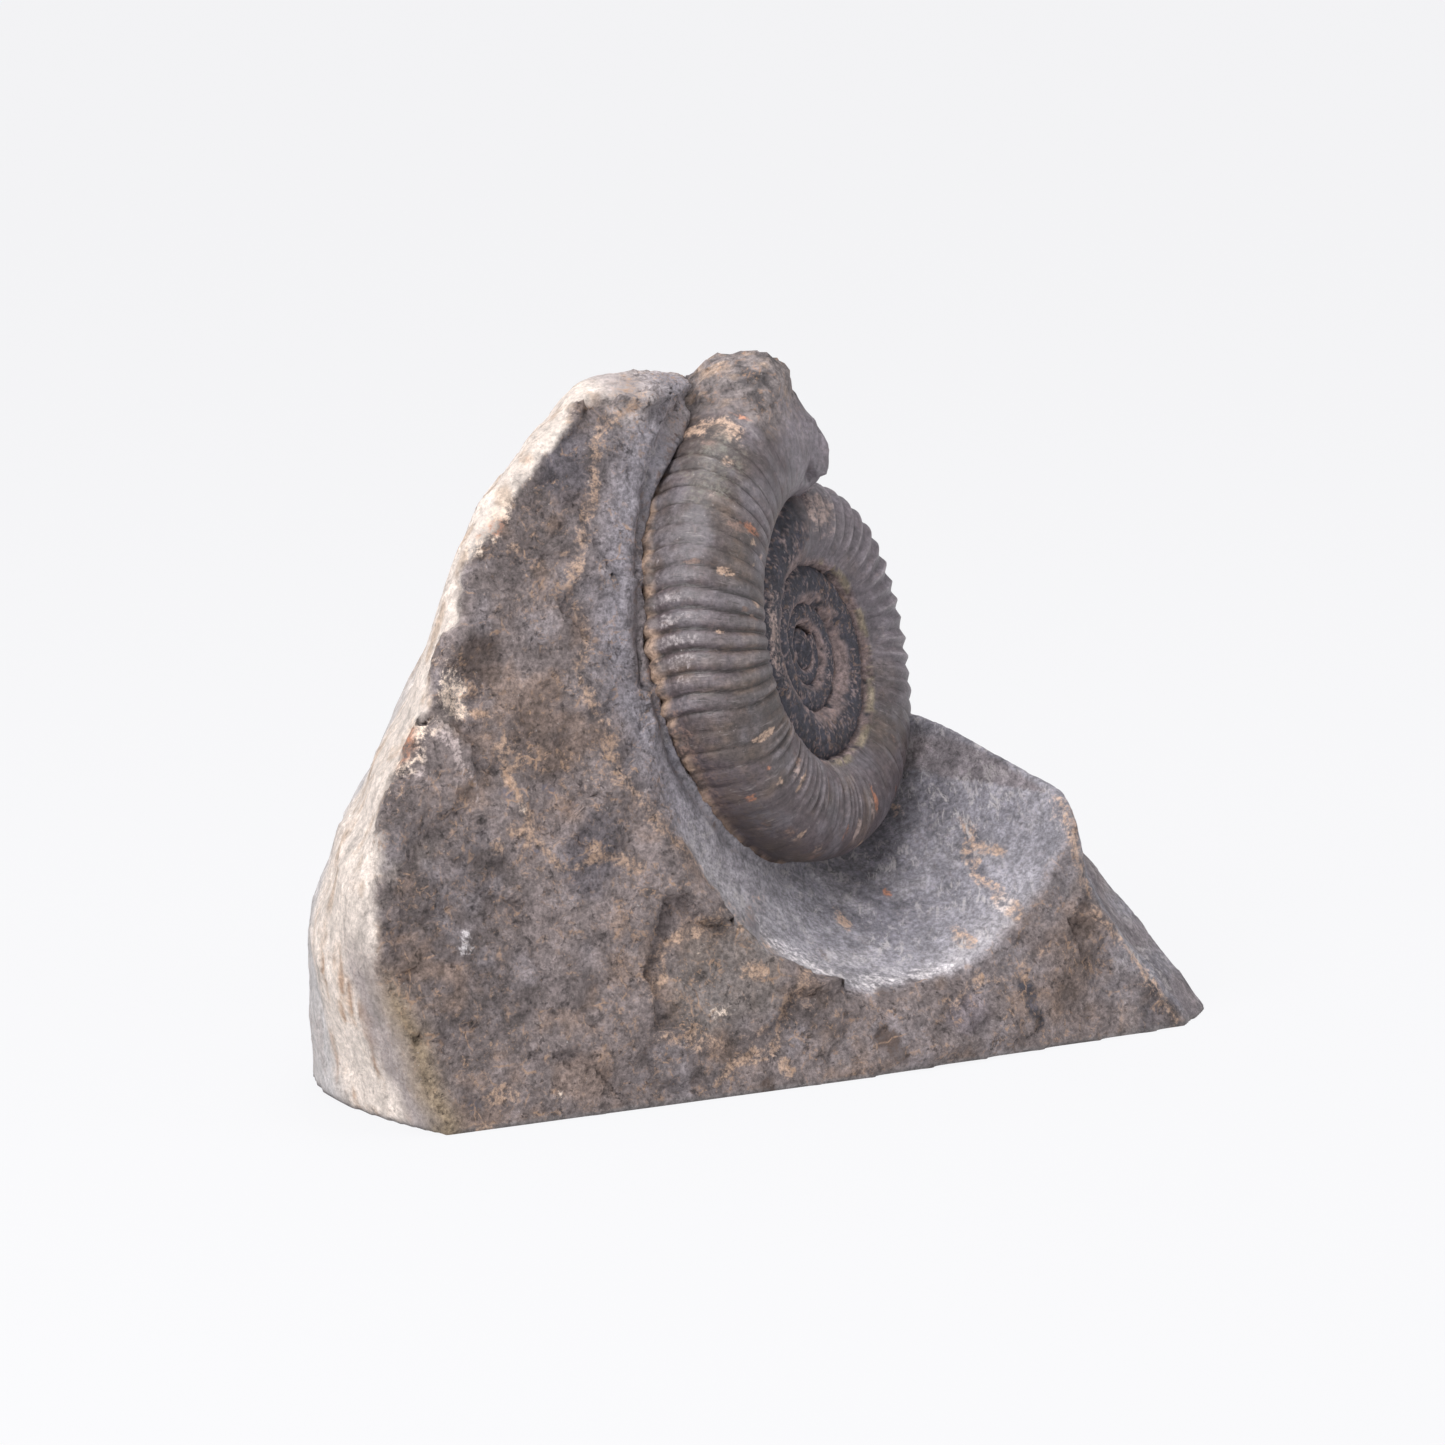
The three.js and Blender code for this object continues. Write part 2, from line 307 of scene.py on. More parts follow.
@dataclass(frozen=True)
class Blotch:
    """An uneven round patch on the block, placed by shares of the block's width and height.

    Attributes:
        across: How far along the block, 0 to 1.
        up: How far up it, 0 to 1.
        wide: Half its width in millimetres.
        high: Half its height.
        colour: Its colour.
        strength: How much it covers, 0 to 1.
        hollow: How much of its middle is left out, 0 for none.
    """

    across: float
    up: float
    wide: float
    high: float
    colour: Colour
    strength: float = 0.8
    hollow: float = 0.0

    def share(self, points: Array) -> Array:
        """How much of the patch is at each point, 0 to 1.

        Args:
            points: Places to judge, in millimetres.

        Returns:
            The share at each point, 0 to 1.
        """
        away = (points[:, [0, 2]] - on_block(self.across, self.up)) / (self.wide, self.high)
        reach = np.linalg.norm(away, axis=1)
        shares = np.zeros(len(points))
        close = (reach < 2.2) & (points[:, 1] < 16)
        edge = reach[close] + 0.5 * StoneNoise.rough(points[close], 1.6 + self.wide, 3, 4)
        shares[close] = self.strength * ease(edge, 1.3, 0.6)
        if self.hollow:
            shares[close] *= ease(edge, self.hollow - 0.25, self.hollow)
        return shares


@dataclass(frozen=True)
class Vein:
    """A thin wandering vein that starts at shares of the block's width and height.

    Attributes:
        across: Where it starts along the block, 0 to 1.
        up: Where it starts up the block, 0 to 1.
        heading: Which way it sets off, in degrees up from +X.
        length: How long it is, in millimetres.
        curl: How far it turns on its way, in degrees.
        width: Half its width in millimetres.
        colour: Its colour.
        strength: How much it covers, 0 to 1.
    """

    across: float
    up: float
    heading: float
    length: float
    curl: float
    width: float
    colour: Colour
    strength: float = 0.8

    def share(self, points: Array) -> Array:
        """How much of the vein is at each point, 0 to 1.

        Args:
            points: Places to judge, in millimetres.

        Returns:
            The share at each point, 0 to 1.
        """
        bends = 14
        along = np.arange(bends) / bends
        turn = self.heading + self.curl * along + 28 * np.sin(11 * along + 9 * self.across)
        steps = np.stack([np.cos(np.radians(turn)), np.sin(np.radians(turn))], axis=1) * self.length / bends
        path = np.concatenate([np.zeros((1, 2)), np.cumsum(steps, axis=0)]) + on_block(self.across, self.up)
        flat = points[:, [0, 2]]
        near = np.full(len(points), 99.0)
        for start, run in zip(path[:-1], steps):
            share = np.clip((flat - start) @ run / (run @ run), 0, 1)
            near = np.minimum(near, np.linalg.norm(flat - start - share[:, None] * run, axis=1))
        shares = np.zeros(len(points))
        close = (near < 3 * self.width + 2) & (points[:, 1] < 16)
        edge = near[close] + self.width * StoneNoise.rough(points[close], 2.2 * self.width + 1.2, 3, 4)
        shares[close] = self.strength * ease(edge, 1.3 * self.width, 0.5 * self.width)
        return shares


PATCHES = (
    Blotch(0.16, 0.64, 5, 4, BROWN, 0.7), Blotch(0.22, 0.52, 6, 6, BROWN, 0.55),
    Blotch(0.26, 0.36, 5, 6, DUSK, 0.6), Blotch(0.28, 0.87, 4, 7, DUSK, 0.65),
    Blotch(0.38, 0.17, 10, 8, tint(122, 114, 110), 0.6),
    Blotch(0.66, 0.07, 4, 3, tint(136, 126, 132), 0.7),
    Blotch(0.80, 0.12, 7, 9, tint(116, 99, 90), 0.6),
)
DETAILS = (
    Blotch(0.13, 0.60, 3.5, 4.0, CREAM, 0.8), Blotch(0.08, 0.50, 2.4, 2.0, PINK, 0.85, 0.6),
    Blotch(0.18, 0.50, 2.4, 2.4, TAN, 0.7, 0.6), Blotch(0.38, 0.17, 12, 9.5, TAN, 0.75, 0.95),
    Blotch(0.65, 0.21, 0.9, 0.7, RUST, 0.9), Blotch(0.11, 0.25, 1.4, 2.0, WHITE, 0.7),
    Vein(0.15, 0.57, -55, 26, -50, 0.8, TAN), Vein(0.17, 0.40, -45, 24, 60, 1.0, TAN),
    Vein(0.10, 0.54, -40, 14, -50, 0.8, PINK, 0.7), Vein(0.30, 0.13, 80, 18, -60, 1.2, TAN, 0.7),
    Vein(0.35, 0.24, 5, 20, -40, 0.8, TAN, 0.6), Vein(0.48, 0.15, -120, 26, -50, 0.9, TAN, 0.7),
    Vein(0.73, 0.10, -72, 8, 10, 1.0, CHARCOAL, 0.95), Vein(0.56, 0.06, -60, 5, 10, 1.6, BROWN, 0.85),
    Vein(0.75, 0.30, -130, 12, 60, 1.0, TAN, 0.65), Vein(0.64, 0.09, 5, 20, 20, 1.2, TAN, 0.5),
)


@dataclass(frozen=True)
class Coil:
    """The logarithmic spiral that the shell follows, in millimetres and degrees.

    Attributes:
        centre: The middle of the coil.
        turn: How far the clean flank looks round from the front towards +X.
        tip: How far it looks up.
        radius: Centre to venter at the angle reach.
        reach: Degrees clockwise from the top, seen from the clean flank.
        expansion: How much the radius grows in a turn.
        seam: Inner edge of a whorl over the radius of the whorl below it.
        half_width: Half the whorl's thickness over its radius.
        broken_end: Where the last whorl is broken off.
    """

    centre: tuple[float, float, float] = tuple(SHELL_BOX[0] + CORNER_TO_CENTRE)
    turn: float = 35.0
    tip: float = 13.0
    radius: float = 46.0
    reach: float = 385.0
    expansion: float = 1.78
    seam: float = 0.93
    half_width: float = 0.226
    broken_end: float = 375.0

    def directions(self) -> tuple[Array, Array, Array]:
        """The shell's own directions: across, up and out of the clean flank.

        Returns:
            The three directions, each of length 1.
        """
        a, t = math.radians(self.turn), math.radians(self.tip)
        out = np.array([math.sin(a) * math.cos(t), -math.cos(a) * math.cos(t), math.sin(t)])
        up = np.array([0.0, 0.0, 1.0]) - out * out[2]
        up /= np.linalg.norm(up)
        return -np.cross(out, up), up, out

    def venter(self, angle: Array) -> Array:
        """Centre to venter at a spiral angle.

        Args:
            angle: Spiral angles, in degrees.

        Returns:
            The distances.
        """
        plain = self.radius * self.expansion ** ((angle - self.reach) / 360)
        swell = 2.8 * bell(angle, 42, 38)
        return plain + swell

    def place(self, angle: Array, radius: Array, side: Array) -> Array:
        """The point at a spiral angle, a distance from the centre and a distance off the mid-plane.

        Args:
            angle: Spiral angles, in degrees.
            radius: Distances from the middle of the coil, in millimetres.
            side: Distances off the mid-plane, in millimetres.

        Returns:
            The points, in millimetres.
        """
        across, up, out = self.directions()
        a = np.radians(angle)
        ray = np.sin(a)[..., None] * across + np.cos(a)[..., None] * up
        return np.array(self.centre) + radius[..., None] * ray + side[..., None] * out

    def depth(self, points: Array) -> Array:
        """Roughly how far points lie outside the shell's last two whorls, in millimetres.

        Args:
            points: Places to judge, in millimetres.

        Returns:
            The distances, in millimetres.
        """
        across, up, out = self.directions()
        away = points - np.array(self.centre)
        x, y, side = away @ across, away @ up, away @ out
        radius = np.hypot(x, y)
        first = np.degrees(np.arctan2(x, y)) % 360
        best = np.full(len(points), 99.0)
        for turn in (0, 360):
            angle = first + turn
            outer = self.venter(angle)
            inner = self.seam * self.venter(angle - 360)
            half = 0.5 * (outer - inner)
            wide = self.half_width * outer
            ring = np.hypot((radius - 0.5 * (outer + inner)) / half, side / wide)
            gap = (ring - 1) * np.minimum(half, wide)
            best = np.where(angle <= self.broken_end + 2, np.minimum(best, gap), best)
        return best


class Side(Enum):
    """The faces of the block, which weather and break in their own ways."""

    FRONT = "broken front"
    RIND = "weathered left side"
    HOLLOW = "prepared hollow"
    END = "smooth right end"
    BASE = "sawn base"


class GraphBuilder:
    """Short ways to lay out shader nodes."""

    def __init__(self, tree: bpy.types.NodeTree) -> None:
        """Starts on a node tree."""
        self.tree = tree

    def node(self, kind: str, **settings: object) -> bpy.types.Node:
        """Adds a node and sets its properties and inputs.

        Args:
            kind: The node's type name.
            **settings: Properties, or inputs by name with spaces as underscores.

        Returns:
            The node.
        """
        made = self.tree.nodes.new(kind)
        for name, value in settings.items():
            label = name.replace("_", " ")
            if hasattr(made, name) and not isinstance(value, bpy.types.NodeSocket):
                setattr(made, name, value)
                continue
            spot = next(s for s in made.inputs if s.name == label and s.enabled)
            if isinstance(value, bpy.types.NodeSocket):
                self.tree.links.new(value, spot)
            else:
                spot.default_value = value
        return made

    def link(self, start: bpy.types.NodeSocket, end: bpy.types.NodeSocket) -> None:
        """Joins two sockets."""
        self.tree.links.new(start, end)

    def millimetres(self, stretch: Colour = (1, 1, 1), turn: Colour = (0, 0, 0)) -> bpy.types.NodeSocket:
        """Object coordinates in millimetres, stretched and turned.

        Args:
            stretch: Scale of the place along each axis.
            turn: Turn of the place about each axis, in radians.

        Returns:
            The place socket.
        """
        place = self.node("ShaderNodeTexCoord")
        spin = self.node("ShaderNodeMapping", Rotation=turn)
        self.link(place.outputs["Object"], spin.inputs["Vector"])
        scale = self.node("ShaderNodeMapping", Scale=tuple(1000 * s for s in stretch))
        self.link(spin.outputs["Vector"], scale.inputs["Vector"])
        return scale.outputs["Vector"]

    def noise(self, place: bpy.types.NodeSocket, size: float, detail: float = 4.0,
              rough: float = 0.6, warp: float = 0.0) -> bpy.types.NodeSocket:
        """Cloudy noise.

        Args:
            place: Socket that carries the place, in millimetres.
            size: Width of a cloud, in millimetres.
            detail: How many finer layers it has.
            rough: How strong they are.
            warp: How far it swirls.

        Returns:
            The noise socket.
        """
        made = self.node("ShaderNodeTexNoise", Scale=1 / size, Detail=detail, Roughness=rough,
                         Distortion=warp, Vector=place)
        return made.outputs["Fac"]

    def wander(self, place: bpy.types.NodeSocket, size: float, reach: float) -> bpy.types.NodeSocket:
        """Shifts a place to and fro by up to reach millimetres, in swells of a size.

        Args:
            place: Socket that carries the place, in millimetres.
            size: Width of the largest feature, in millimetres.
            reach: How far places move, in millimetres.

        Returns:
            The moved place.
        """
        swell = self.node("ShaderNodeTexNoise", Scale=1 / size, Detail=3.0, Vector=place).outputs["Color"]
        centred = self.tree.nodes.new("ShaderNodeVectorMath")
        centred.operation = "MULTIPLY_ADD"
        self.link(swell, centred.inputs[0])
        centred.inputs[1].default_value = (reach, reach, reach)
        self.link(place, centred.inputs[2])
        return centred.outputs[0]

    def ramp(self, value: bpy.types.NodeSocket, low: float, high: float,
             start: float = 0.0, end: float = 1.0) -> bpy.types.NodeSocket:
        """Runs smoothly from start to end as value goes from low to high.

        Args:
            value: Socket to read.
            low: Where the result starts to rise.
            high: Where it is full.
            start: Value or colour at the low end.
            end: Value or colour at the high end.

        Returns:
            The result socket.
        """
        made = self.tree.nodes.new("ShaderNodeMapRange")
        made.interpolation_type = "SMOOTHSTEP"
        self.link(value, made.inputs["Value"])
        for name, number in (("From Min", low), ("From Max", high), ("To Min", start), ("To Max", end)):
            made.inputs[name].default_value = number
        return made.outputs["Result"]

    def maths(self, work: str, first: object, second: object) -> bpy.types.NodeSocket:
        """Does sums on two values or sockets.

        Args:
            work: Name of the sum to do.
            first: Its first value or socket.
            second: Its second value or socket.

        Returns:
            The result socket.
        """
        made = self.tree.nodes.new("ShaderNodeMath")
        made.operation = work
        for spot, value in zip(made.inputs, (first, second)):
            if isinstance(value, bpy.types.NodeSocket):
                self.link(value, spot)
            else:
                spot.default_value = value
        return made.outputs[0]

    def blend(self, share: object, under: object, over: object, how: str = "MIX") -> bpy.types.NodeSocket:
        """Lays one colour over another.

        Args:
            share: How much of the upper colour shows.
            under: Colour below.
            over: Colour on top.
            how: Name of the way of mixing.

        Returns:
            The colour socket.
        """
        made = self.tree.nodes.new("ShaderNodeMix")
        made.data_type = "RGBA"
        made.blend_type = how
        for spot, value in ((made.inputs[0], share), (made.inputs[6], under), (made.inputs[7], over)):
            if isinstance(value, bpy.types.NodeSocket):
                self.link(value, spot)
            elif isinstance(value, tuple):
                spot.default_value = (*value, 1)
            else:
                spot.default_value = value
        return made.outputs[2]


@dataclass(frozen=True)
class StoneFinish:
    """Painted stone with grain, flecks and a fine broken surface.

    Attributes:
        name: The material's name.
        fleck: Colour of the warm flecks.
        pale: Colour of the pale flecks.
        dark: Colour of the dark flecks.
        roughness: Roughness of broken stone.
        smooth: Roughness where it has been worked smooth.
        relief: Height of the fine surface in millimetres.
        specular: How much it shines.
        bruise: How much the worked parts are bruised pale.
        growth: Whether it has growth lines.
    """

    name: str
    fleck: Colour
    pale: Colour
    dark: Colour
    roughness: float
    smooth: float
    relief: float
    specular: float
    bruise: float = 0.5
    growth: bool = False

    def material(self) -> bpy.types.Material:
        """Builds the finish.

        Returns:
            The material. It reads the layers paint (base colour), stain (colour and strength
            of marks), zones (red: worked smooth, green: pale rind, blue: warm flecks) and, on
            the shell, growth (ribs along X).
        """
        made = bpy.data.materials.new(self.name)
        made.use_nodes = True
        tree = made.node_tree
        tree.nodes.clear()
        g = GraphBuilder(tree)
        out = g.node("ShaderNodeOutputMaterial")
        skin = g.node("ShaderNodeBsdfPrincipled")
        g.link(skin.outputs["BSDF"], out.inputs["Surface"])
        paint = g.node("ShaderNodeAttribute", attribute_name="paint").outputs["Color"]
        stain = g.node("ShaderNodeAttribute", attribute_name="stain")
        zones = g.node("ShaderNodeAttribute", attribute_name="zones").outputs["Color"]
        parts = g.node("ShaderNodeSeparateColor", Color=zones)
        smooth, rind, warm = (parts.outputs[n] for n in ("Red", "Green", "Blue"))
        place = g.millimetres()
        broad = g.noise(place, 5.5, 6, 0.66, 0.3)
        mid = g.noise(place, 2.2, 7, 0.72, 0.4)
        fine = g.noise(place, 0.75, 6, 0.75)
        # stains break up into grains at their edges
        drift = g.maths("MULTIPLY", g.maths("SUBTRACT", mid, 0.5), 2.6)
        drift = g.maths("ADD", drift, g.maths("MULTIPLY", g.maths("SUBTRACT", fine, 0.5), 2.4))
        edge = g.ramp(g.maths("ADD", stain.outputs["Alpha"], drift), 0.3, 1.0)
        edge = g.maths("MULTIPLY", edge, g.ramp(stain.outputs["Alpha"], 0.0, 0.4))
        tone = g.blend(g.maths("MULTIPLY", edge, 0.9), paint, stain.outputs["Color"])
        shade = g.maths("MULTIPLY", g.ramp(broad, 0.28, 0.72, 0.76, 1.24), g.ramp(mid, 0.3, 0.7, 0.72, 1.3))
        shade = g.maths("MULTIPLY", shade, g.ramp(fine, 0.33, 0.67, 0.6, 1.42))
        grey = g.node("ShaderNodeCombineColor", Red=shade, Green=shade, Blue=shade).outputs["Color"]
        calm = g.maths("SUBTRACT", 1.0, g.maths("MULTIPLY", rind, 0.45))
        if self.growth:
            calm = g.ramp(smooth, 0.0, 1.0, 1.0, 0.8)
        tone = g.blend(calm, tone, g.blend(1.0, tone, grey, "MULTIPLY"))
        # warm flecks, in clusters
        cluster = g.ramp(g.noise(place, 8.0, 5, 0.62, 0.8), 0.44, 0.6)
        bit = g.ramp(g.noise(place, 1.2, 8, 0.8, 0.5), 0.53, 0.6)
        warm_bits = g.maths("MULTIPLY", g.maths("MULTIPLY", bit, cluster), warm)
        tone = g.blend(g.maths("MULTIPLY", warm_bits, 0.7), tone, self.fleck)
        # thin curved lines of broken shell
        web = g.node("ShaderNodeTexVoronoi", feature="DISTANCE_TO_EDGE", Scale=1 / 4.5,
                     Vector=g.wander(place, 2.6, 2.4))
        thread = g.maths("MULTIPLY", g.ramp(web.outputs["Distance"], 0.05, 0.012), g.ramp(mid, 0.46, 0.6))
        thread = g.maths("MULTIPLY", thread, g.ramp(g.noise(place, 6.0, 3, 0.6), 0.48, 0.6))
        tone = g.blend(g.maths("MULTIPLY", g.maths("MULTIPLY", thread, warm), 0.75), tone, self.fleck)
        # dark pits and pale grains
        hole = g.ramp(g.noise(place, 1.7, 8, 0.78, 0.3), 0.43, 0.36)
        hole = g.maths("MULTIPLY", hole, g.maths("ADD", g.maths("MULTIPLY", warm, 0.8), 0.15))
        tone = g.blend(g.maths("MULTIPLY", hole, 0.6), tone, self.dark)
        grains = g.ramp(g.noise(place, 0.9, 5, 0.8), 0.63, 0.7)
        tone = g.blend(g.maths("MULTIPLY", grains, 0.55), tone, self.pale)
        # the worked hollow: light bruises and scratches
        streaks = g.noise(g.millimetres((1.0, 0.3, 0.5), (0.35, 0.5, 0.9)), 1.1, 7, 0.76, 0.5)
        clouds = g.ramp(g.noise(place, 10, 4, 0.6), 0.38, 0.62)
        bruise = g.maths("MULTIPLY", g.ramp(streaks, 0.52, 0.6), clouds)
        bruise = g.maths("MULTIPLY", bruise, smooth)
        tone = g.blend(g.maths("MULTIPLY", bruise, self.bruise), tone, self.pale)
        relief = g.maths("ADD", g.maths("MULTIPLY", mid, 1.3), g.maths("MULTIPLY", fine, 0.8))
        relief = g.maths("SUBTRACT", relief, g.maths("MULTIPLY", hole, 0.3))
        relief = g.maths("MULTIPLY", relief, g.ramp(smooth, 0.0, 1.0, 1.0, 0.45))
        if self.growth:
            line = g.node("ShaderNodeAttribute", attribute_name="growth").outputs["Vector"]
            comb = g.node("ShaderNodeMapping", Scale=(3.4, 0.5, 1.0), Vector=line).outputs["Vector"]
            hair = g.noise(comb, 1.0, 3, 0.7)
            tone = g.blend(g.maths("MULTIPLY", g.ramp(hair, 0.58, 0.74), g.maths("MULTIPLY", smooth, 0.3)),
                           tone, self.pale)
            tone = g.blend(g.maths("MULTIPLY", g.ramp(hair, 0.42, 0.3), g.maths("MULTIPLY", smooth, 0.5)),
                           tone, self.dark)
            relief = g.maths("ADD", relief, g.maths("MULTIPLY", g.maths("MULTIPLY", hair, smooth), 1.1))
        g.link(tone, skin.inputs["Base Color"])
        dull = g.ramp(smooth, 0.0, 1.0, self.roughness, self.smooth)
        dull = g.maths("ADD", dull, g.ramp(fine, 0.3, 0.7, -0.07, 0.07))
        g.link(dull, skin.inputs["Roughness"])
        skin.inputs["Specular IOR Level"].default_value = self.specular
        bump = g.node("ShaderNodeBump", Strength=1.0, Distance=self.relief * MM, Height=relief)
        g.link(bump.outputs["Normal"], skin.inputs["Normal"])
        return made


@dataclass
class HostRock:
    """The block of host rock, broken in front, weathered on the left, worked hollow round the shell.

    Attributes:
        coil: The shell it holds.
        grid: Size of the working grid in millimetres.
        front: Where the broken front meets the base, along Y.
        lean: Degrees that the front leans back.
        swing: How far the right end of the front stands back at the base, in millimetres.
        shoulder: Height of the right shoulder.
        patches: Broad patches painted on it.
        details: Veins and small marks, which break up into grains.
        flecks: How many small chance patches the front has.
    """

    coil: Coil
    grid: float = 0.85
    front: float = ROCK_BOX[0][1]
    lean: float = 15.0
    swing: float = 5.0
    shoulder: float = 44.0
    patches: tuple[Blotch, ...] = PATCHES
    details: tuple[Blotch | Vein, ...] = DETAILS
    flecks: int = 75

    def block(self) -> bpy.types.Mesh:
        """The block as an even grid of faces, ready to work.

        Returns:
            The mesh.
        """
        rough = bpy.data.meshes.new("host_rock_rough")
        shape = bmesh.new()
        shape.from_mesh(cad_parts["host_rock"].data)
        bmesh.ops.remove_doubles(shape, verts=shape.verts, dist=0.00002)
        shape.to_mesh(rough)
        shape.free()
        rough.materials.clear()
        holder = add_object("host_rock_rough", rough)
        even = holder.modifiers.new("even", "REMESH")
        even.mode = "VOXEL"
        even.voxel_size = self.grid * MM
        bpy.context.view_layer.update()
        made = bpy.data.meshes.new_from_object(holder.evaluated_get(bpy.context.evaluated_depsgraph_get()))
        bpy.data.objects.remove(holder)
        bpy.data.meshes.remove(rough)
        made.name = "host_rock_block"
        shape = bmesh.new()
        shape.from_mesh(made)
        for _ in range(5):
            bmesh.ops.smooth_vert(shape, verts=shape.verts, factor=0.5,
                                  use_axis_x=True, use_axis_y=True, use_axis_z=True)
        shape.to_mesh(made)
        shape.free()
        return made

    def depth(self, points: Array) -> Array:
        """How far points lie behind the broken front, whose right end swings back towards the base.

        Args:
            points: Places to judge, in millimetres.

        Returns:
            The distances, in millimetres.
        """
        lean = math.radians(self.lean)
        right = np.clip(points[:, 0] / ROCK_BOX[1][0], 0, 1)
        swing = self.swing * right * np.clip(1 - points[:, 2] / self.shoulder, 0, 1)
        return (points[:, 1] - self.front - swing - points[:, 2] * math.tan(lean)) * math.cos(lean)

    def front_edges(self) -> tuple[Array, Array, Array]:
        """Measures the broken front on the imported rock.

        Returns:
            Heights, and the X of the front's left and right edge at each of them.
        """
        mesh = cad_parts["host_rock"].data
        corners = read_points(mesh)
        heights, left, right, front = [], [], [], []
        for face in mesh.polygons:
            lie = corners[list(face.vertices)]
            if abs(face.normal[0]) < 0.35 and face.normal[1] < -0.8 and self.depth(lie).max() < 6:
                front.append(lie)
        places = np.concatenate(front)
        for height in range(2, int(ROCK_BOX[1][2]) - 2, 4):
            level = places[np.abs(places[:, 2] - height) < 3.5]
            if len(level):
                heights.append(height)
                left.append(level[:, 0].min())
                right.append(level[:, 0].max())
        return np.array(heights), np.array(left), np.array(right)

    def edges_at(self, height: Array) -> tuple[Array, Array]:
        """The X of the front's left and right edge at heights."""
        heights, left, right = self.front_edges()
        return np.interp(height, heights, left), np.interp(height, heights, right)

    def shares(self, points: Array, normals: Array) -> dict[Side, Array]:
        """How much each point belongs to each side of the block, 0 to 1.

        Args:
            points: Places to judge, in millimetres.
            normals: The way each of them faces.

        Returns:
            A share for each point, by side.
        """
        x, y, z = points.T
        depth = self.depth(points)
        edge, far = self.edges_at(z)
        wobble = 1.6 * StoneNoise.rough(points, 9, 5, 4)
        rind = ease(depth + wobble, 0.6, 3.6) * ease(x - edge - 0.55 * np.maximum(y + 33, 0), 9, 1)
        rind = np.maximum(rind, ease(edge + 1.2 + 2.2 * ease(z, 76, 96) + wobble - x, 0, 1.5))
        rind *= ease(x, -12, -22)
        end = ease(x - far + 0.6 * wobble, 0.5, 2.5) * ease(z, 46, 42) * ease(x, 30, 40)
        end *= ease(normals[:, 2], 0.75, 0.5)
        hollow = ease(depth + 0.9 * wobble, 0.4, 3.2) * ease(x, -36, -32) * ease(y, 16, 10)
        hollow *= ease(normals[:, 1], 0.35, 0.1) * (1 - end) * ease(z, 101, 97)
        base = ease(z, 0.9, 0.3)
        front = np.clip(1 - rind - hollow - end - base, 0, 1)
        return {Side.FRONT: front, Side.RIND: rind * (1 - hollow), Side.HOLLOW: hollow,
                Side.END: end, Side.BASE: base}

    def carve(self, points: Array, normals: Array, shares: dict[Side, Array]) -> Array:
        """Breaks, weathers and works the block's surface.

        Args:
            points: The block's points.
            normals: Their normals.
            shares: What side each is on.

        Returns:
            The points of the finished surface.
        """
        front, rind, hollow, end = (shares[s] for s in (Side.FRONT, Side.RIND, Side.HOLLOW, Side.END))
        big, _, _ = StoneNoise.chips(points, 15, 41)
        small, _, _ = StoneNoise.chips(points, 5.2, 57)
        tiny, _, _ = StoneNoise.chips(points, 2.4, 71)
        swell = StoneNoise.rough(points, 22, 2, 3)
        rough = StoneNoise.rough(points, 4.5, 8, 4)
        broken = 0.26 * big + 0.26 * small + 0.2 * tiny + 0.55 * swell + 0.16 * rough
        weathered = 0.1 * small + 0.7 * StoneNoise.rough(points * [1, 1, 0.5], 16, 15, 3) + 0.1 * rough
        worked = 0.3 * StoneNoise.swell(points, 9, 18) + 0.14 * rough + 0.06 * tiny + 0.06 * small
        plain = 0.12 * small + 0.1 * rough + 0.5 * StoneNoise.swell(points, 25, 19)
        shift = front * broken + rind * weathered + hollow * worked + end * plain
        shift *= ease(points[:, 2], 0.3, 3.0)
        # a groove runs down beside the shell
        gap = self.coil.depth(points)
        beside = ease(points[:, 0], 2, -8) * ease(points[:, 2], 38, 50) * ease(points[:, 2], 104, 96)
        beside *= ease(gap, 5.0, 1.2) * ease(normals[:, 1], 0.2, -0.2)
        shift -= beside * 1.6 * ease(points[:, 2], 100, 88)
        moved = points + normals * shift[:, None]
        # the rock closes up to the shell
        upper = ease(points[:, 2], 84, 95)
        pull = ease(gap - 1.6 * upper, 1.9, 1.0) * ease(gap, -3.0, -0.5)
        lift = self.coil.depth(points + normals * 0.3) - gap
        toward = np.where(lift < 0, 1.0, -1.0)
        pulled = toward * pull * (1.5 + 1.1 * upper) * ease(np.abs(lift), 0.02, 0.15)
        moved += normals * pulled[:, None]
        flat = points[:, 2] < 0.45
        moved[flat, 2] = 0.0
        moved[:, 2] = np.maximum(moved[:, 2], 0.0)
        return moved

